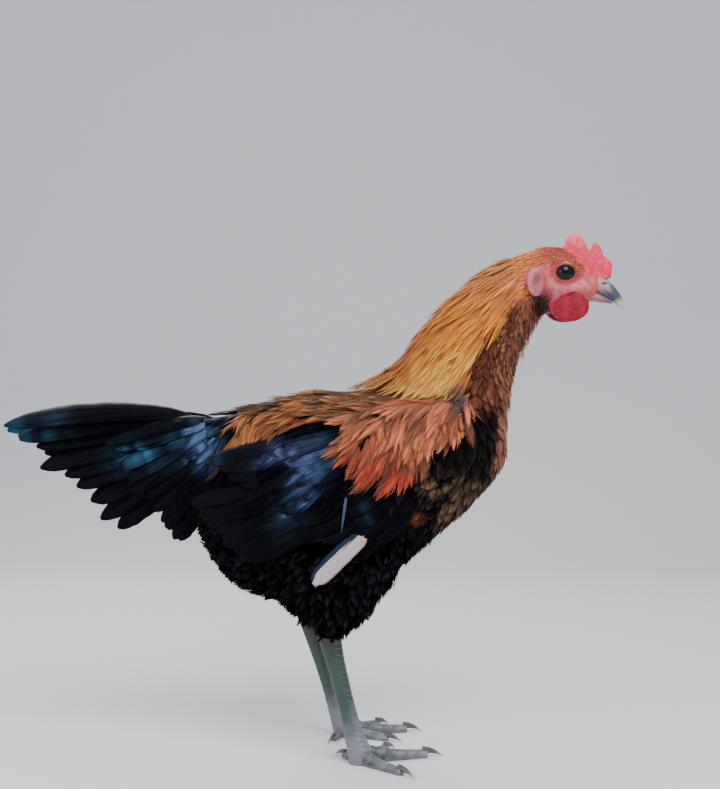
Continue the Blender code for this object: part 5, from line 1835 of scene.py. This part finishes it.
class GAMECOCK_OT_wings(bpy.types.Operator):
    """Lays the quills and coverts of the folded wings"""

    bl_idname = "gamecock.wings"
    bl_label = "Wings"

    def execute(self, context):
        sizes, plumage = context.scene.gamecock_coat, context.scene.gamecock_plumage
        glossy = feather_material("glossy_feather_keratin", 0.44, 0.0, 0.16, "#6C7490", barb_depth=0.30)
        torso = torso_form()
        stations = 22
        # The white quill, a dark leaf of painted shadow on its upper edge, and a covert's pale edge.
        pale = (
            (WHITE_QUILL_SHADOW, QUILL, 0.0056, linear("#222C42")),
            (PALE_QUILL, STUB, 0.0064, plumage.white),
            (PALE_EDGE, LANCE, 0.0064, linear("#465070")),
        )
        for label, side in SIDES.items():
            draw = np.random.default_rng(sizes.seed + 100 + side)
            coat = Coat("wing_feathers_" + label)
            lines, outs, widths = [], [], []
            for count, *ends, width, lift in WING_TIERS:
                root_a, root_b, tip_a, tip_b = (np.array(end) for end in ends)
                for f in np.linspace(0, 1, count):
                    root = root_a + (root_b - root_a) * f
                    tip = tip_a + (tip_b - tip_a) * f + draw.uniform(-0.002, 0.002, 2)
                    line, out, rise = quill_line(side, root, tip, lift + 0.0008 * f, 0.003, stations)
                    lines.append(line)
                    outs.append(tilted(line, out, -side * (7.0 + draw.uniform(-1, 1)) * rise))
                    widths.append(width * draw.uniform(0.94, 1.08))
            lines, outs = np.array(lines), np.array(outs)
            tints = black_gloss(lines, plumage, draw.uniform(0.3, 1.5, (len(lines), 1)))
            tints = mixed(tints, markings(lines, plumage), smoothstep(0.082, 0.094, lines[..., 0]))
            places = torso.rolled_out(lines[:, 0])
            add_leaves(
                coat, lines, outs, widths, QUILL, tints, places, sizes.seed + 110 + side,
                thickness=0.00030, section=BROAD_VANE, camber=0.16, ragged=0.07,
            )
            add_strands(
                coat, lines, outs, widths, 14, tints, places, sizes.seed + 120 + side, thin=0.0003, steps=5
            )
            for (root, tip, width), outline, lift, tone in pale if label == "right" else ():
                line, out, rise = quill_line(side, root, tip, lift, 0.0, stations)
                add_leaves(
                    coat, line[None], tilted(line, out, 4.0 * rise)[None], [width], outline,
                    np.broadcast_to(np.array(tone), (1, stations, 3)), torso.rolled_out(line[None, 0]), 5,
                    thickness=0.00032, section=BROAD_VANE, camber=0.10, ragged=0.05,
                )
            finish_piece(coat.built(), glossy, "wing_plumage", "wing_" + label)

        def flank(points):
            x, z = side_view(points)
            return ((x < 0.118) & (x > -0.080) & (z > 0.205) & (z < hem_height(x) + 0.012)).astype(float)

        small = Coat("wing_small_coverts")
        combed_coat(
            small, sizes.seed + 130, 0.0092, flank, 0.036, 0.0098, (0.0018, 0.0036), gloss_tint(plumage),
            torso, strands=12, stations=8, variety=0.45, thin=0.00036,
        )
        finish_piece(small.built(), glossy, "wing_plumage")
        return {"FINISHED"}


class GAMECOCK_OT_tail(bpy.types.Operator):
    """Fans out the tail feathers and their coverts"""

    bl_idname = "gamecock.tail"
    bl_label = "Tail"

    def execute(self, context):
        sizes, plumage = context.scene.gamecock_coat, context.scene.gamecock_plumage
        glossy = feather_material("tail_feather_keratin", 0.44, 0.0, 0.16, "#6C7890", barb_depth=0.30)
        coat = Coat("tail_feathers")
        lines, outs, widths = [], [], []
        draw = np.random.default_rng(sizes.seed + 140)
        # Each fan: its rows, how many feathers, share of their width, share of their length, further out.
        fans = (
            (TAIL_FEATHERS, 9, 0.88, 1.0, 0.0),
            (TAIL_COVERTS, 11, 0.74, 1.0, 0.0),
            (TAIL_COVERTS, 9, 0.62, 0.72, 0.0016),
        )
        for side in SIDES.values():
            for rows, count, narrow, short, further in fans:
                for s in np.linspace(0, len(rows) - 1, count):
                    row = smooth_rows(rows, s)
                    row[2] += draw.uniform(-3.0, 2.0)
                    row[3] *= draw.uniform(0.88, 1.01) * short
                    row[6] += further
                    line, out = tail_line(side, row, 26)
                    lines.append(line)
                    outs.append(out)
                    widths.append(row[4] * narrow)
        lines, outs = np.array(lines), np.array(outs)
        tints = black_gloss(lines, plumage, draw.uniform(0.2, 1.6, (len(lines), 1)))
        places = Form(TAIL_SECTIONS).rolled_out(lines[:, 0])
        add_leaves(
            coat, lines, outs, widths, QUILL, tints, places, sizes.seed + 141,
            thickness=0.00030, section=BROAD_VANE, camber=0.14, ragged=0.08,
        )
        add_strands(coat, lines, outs, widths, 22, tints, places, sizes.seed + 142, thin=0.00034, steps=5)
        finish_piece(coat.built(), glossy, "tail_plumage", "tail")

        def rump(points):
            x, z = side_view(points)
            return ((x > -0.110) & (x < -0.046) & (z > 0.212)).astype(float)

        small = Coat("rump_feathers")
        combed_coat(
            small, sizes.seed + 145, 0.0088, rump, 0.032, 0.0090, (0.0006, 0.0040), gloss_tint(plumage),
            torso_form(), strands=12, sway=0.12, variety=0.35, thin=0.00036,
        )
        finish_piece(small.built(), glossy, "tail_plumage")
        return {"FINISHED"}


class GAMECOCK_OT_crown(bpy.types.Operator):
    """Combs the short feathers of the head"""

    bl_idname = "gamecock.crown"
    bl_label = "Head feathers"

    def execute(self, context):
        sizes, plumage = context.scene.gamecock_coat, context.scene.gamecock_plumage
        short = feather_material("short_feather_keratin", 0.6, 0.15, 0.35, "#FFDCC0", barb_depth=0.1)

        def feathered(points):
            x, z = side_view(points)
            clear = (lobe_reach(x, z) > 1.15) & (z < crown_height(x) + 0.0008) & (x > 0.150)
            flap = (np.abs(x - WATTLE_CENTRE[0]) < WATTLE_RADII[0]) & (z < 0.360)
            return crown_share(points) * clear * ~flap

        def colour(roots):
            x, z = side_view(roots)
            line = 0.3540 + 0.0090 * smoothstep(0.171, 0.180, x)
            dark = falling(line, line + 0.0080, z) * falling(0.188, 0.196, x)
            nape = falling(0.178, 0.192, x)
            return layered(plumage.crown, (plumage.nape, nape), (plumage.black, 0.85 * dark))

        def brighter(roots):
            return np.clip(colour(roots) * 1.3, 0, 1)

        def length(roots):
            return sizes.crown * np.interp(roots[:, 0], [0.16, 0.18, 0.20, 0.225], [2.6, 1.7, 1.0, 0.62])

        body_hide = STORE["hide"]
        STORE["hide"] = STORE["head"]
        coat = Coat("head_feathers")
        combed_coat(
            coat, sizes.seed + 150, 0.00160, feathered, length, 0.0016, (-0.0001, 0.0009),
            shaded_tint(colour, brighter), head_form(), OVAL, strands=2, stations=4, sway=0.22, variety=0.2,
            thin=0.00022,
        )
        finish_piece(coat.built(), short, "hackle_plumage")
        STORE["hide"] = body_hide
        return {"FINISHED"}


class GAMECOCK_OT_stage(bpy.types.Operator):
    """Sets the floor, the light and the camera"""

    bl_idname = "gamecock.stage"
    bl_label = "Stage"

    def execute(self, context):
        stage = context.scene.gamecock_stage
        bend = np.linspace(0, math.pi / 2, 16)
        radius, wide, near, far = 1.2, 6.0, -4.0, 1.6
        section = [(near, 0.0)] + [(far + radius * math.sin(a), radius * (1 - math.cos(a))) for a in bend]
        section.append((far + radius, 5.0))
        points = [(x, y, z) for y, z in section for x in (-wide, wide)]
        faces = [(2 * i, 2 * i + 1, 2 * i + 3, 2 * i + 2) for i in range(len(section) - 1)]
        floor = mesh_piece("floor", points, faces)
        floor.data.materials.append(floor_material(stage.floor))
        lamps = (
            ("key", (0.55, -1.25, 1.55), 1.3, stage.key),
            ("fill", (-1.5, -1.1, 0.8), 1.2, stage.fill),
            ("rim", (-0.5, 1.3, 1.5), 1.0, stage.fill),
        )
        for name, place, size, power in lamps:
            lamp = bpy.data.lights.new(name, "AREA")
            lamp.shape = "DISK"
            lamp.size = size
            lamp.energy = power
            made = bpy.data.objects.new(name, lamp)
            made.location = place
            made.rotation_euler = (Vector((0.03, 0, 0.2)) - Vector(place)).to_track_quat("-Z", "Y").to_euler()
            context.scene.collection.objects.link(made)
        world = bpy.data.worlds.new("room")
        world.use_nodes = True
        room = world.node_tree.nodes["Background"]
        room.inputs[0].default_value = (0.90, 0.94, 1.0, 1.0)
        room.inputs[1].default_value = stage.sky
        context.scene.world = world
        camera = bpy.data.cameras.new("camera")
        camera.lens = stage.lens
        camera.sensor_width = 36.0
        made = bpy.data.objects.new("camera", camera)
        made.location = (stage.along, -stage.distance, stage.height)
        made.rotation_euler = (math.pi / 2 + stage.pitch, 0, 0)
        context.scene.collection.objects.link(made)
        context.scene.camera = made
        return {"FINISHED"}


OPERATORS = (
    GAMECOCK_OT_stage,
    GAMECOCK_OT_skin,
    GAMECOCK_OT_eyes,
    GAMECOCK_OT_beak,
    GAMECOCK_OT_legs,
    GAMECOCK_OT_body_coat,
    GAMECOCK_OT_cape,
    GAMECOCK_OT_hackle,
    GAMECOCK_OT_wings,
    GAMECOCK_OT_tail,
    GAMECOCK_OT_crown,
)


SETTINGS = {
    "gamecock_coat": GamecockCoat,
    "gamecock_plumage": GamecockPlumage,
    "gamecock_flesh": GamecockFlesh,
    "gamecock_stage": GamecockStage,
}


class GAMECOCK_PT_panel(bpy.types.Panel):
    """Lists the pieces of the gamecock and their settings"""

    bl_label = "Gamecock"
    bl_idname = "GAMECOCK_PT_panel"
    bl_space_type = "VIEW_3D"
    bl_region_type = "UI"
    bl_category = "Gamecock"

    def draw(self, context):
        for operator in OPERATORS:
            self.layout.operator(operator.bl_idname)
        for name, group in SETTINGS.items():
            box = self.layout.box()
            box.label(text=group.__doc__.strip("."))
            for setting in group.__annotations__:
                box.prop(getattr(context.scene, name), setting)


def register():
    """Registers the settings, the operators and the panel."""
    for name, group in SETTINGS.items():
        bpy.utils.register_class(group)
        setattr(bpy.types.Scene, name, PointerProperty(type=group))
    for made in (*OPERATORS, GAMECOCK_PT_panel):
        bpy.utils.register_class(made)


def unregister():
    """Takes the panel, the operators and the settings away again."""
    for made in (GAMECOCK_PT_panel, *reversed(OPERATORS)):
        bpy.utils.unregister_class(made)
    for name, group in SETTINGS.items():
        delattr(bpy.types.Scene, name)
        bpy.utils.unregister_class(group)


def main():
    """Makes every piece in order."""
    register()
    for operator in OPERATORS:
        group, name = operator.bl_idname.split(".")
        getattr(getattr(bpy.ops, group), name)()


if __name__ == "__main__":
    main()
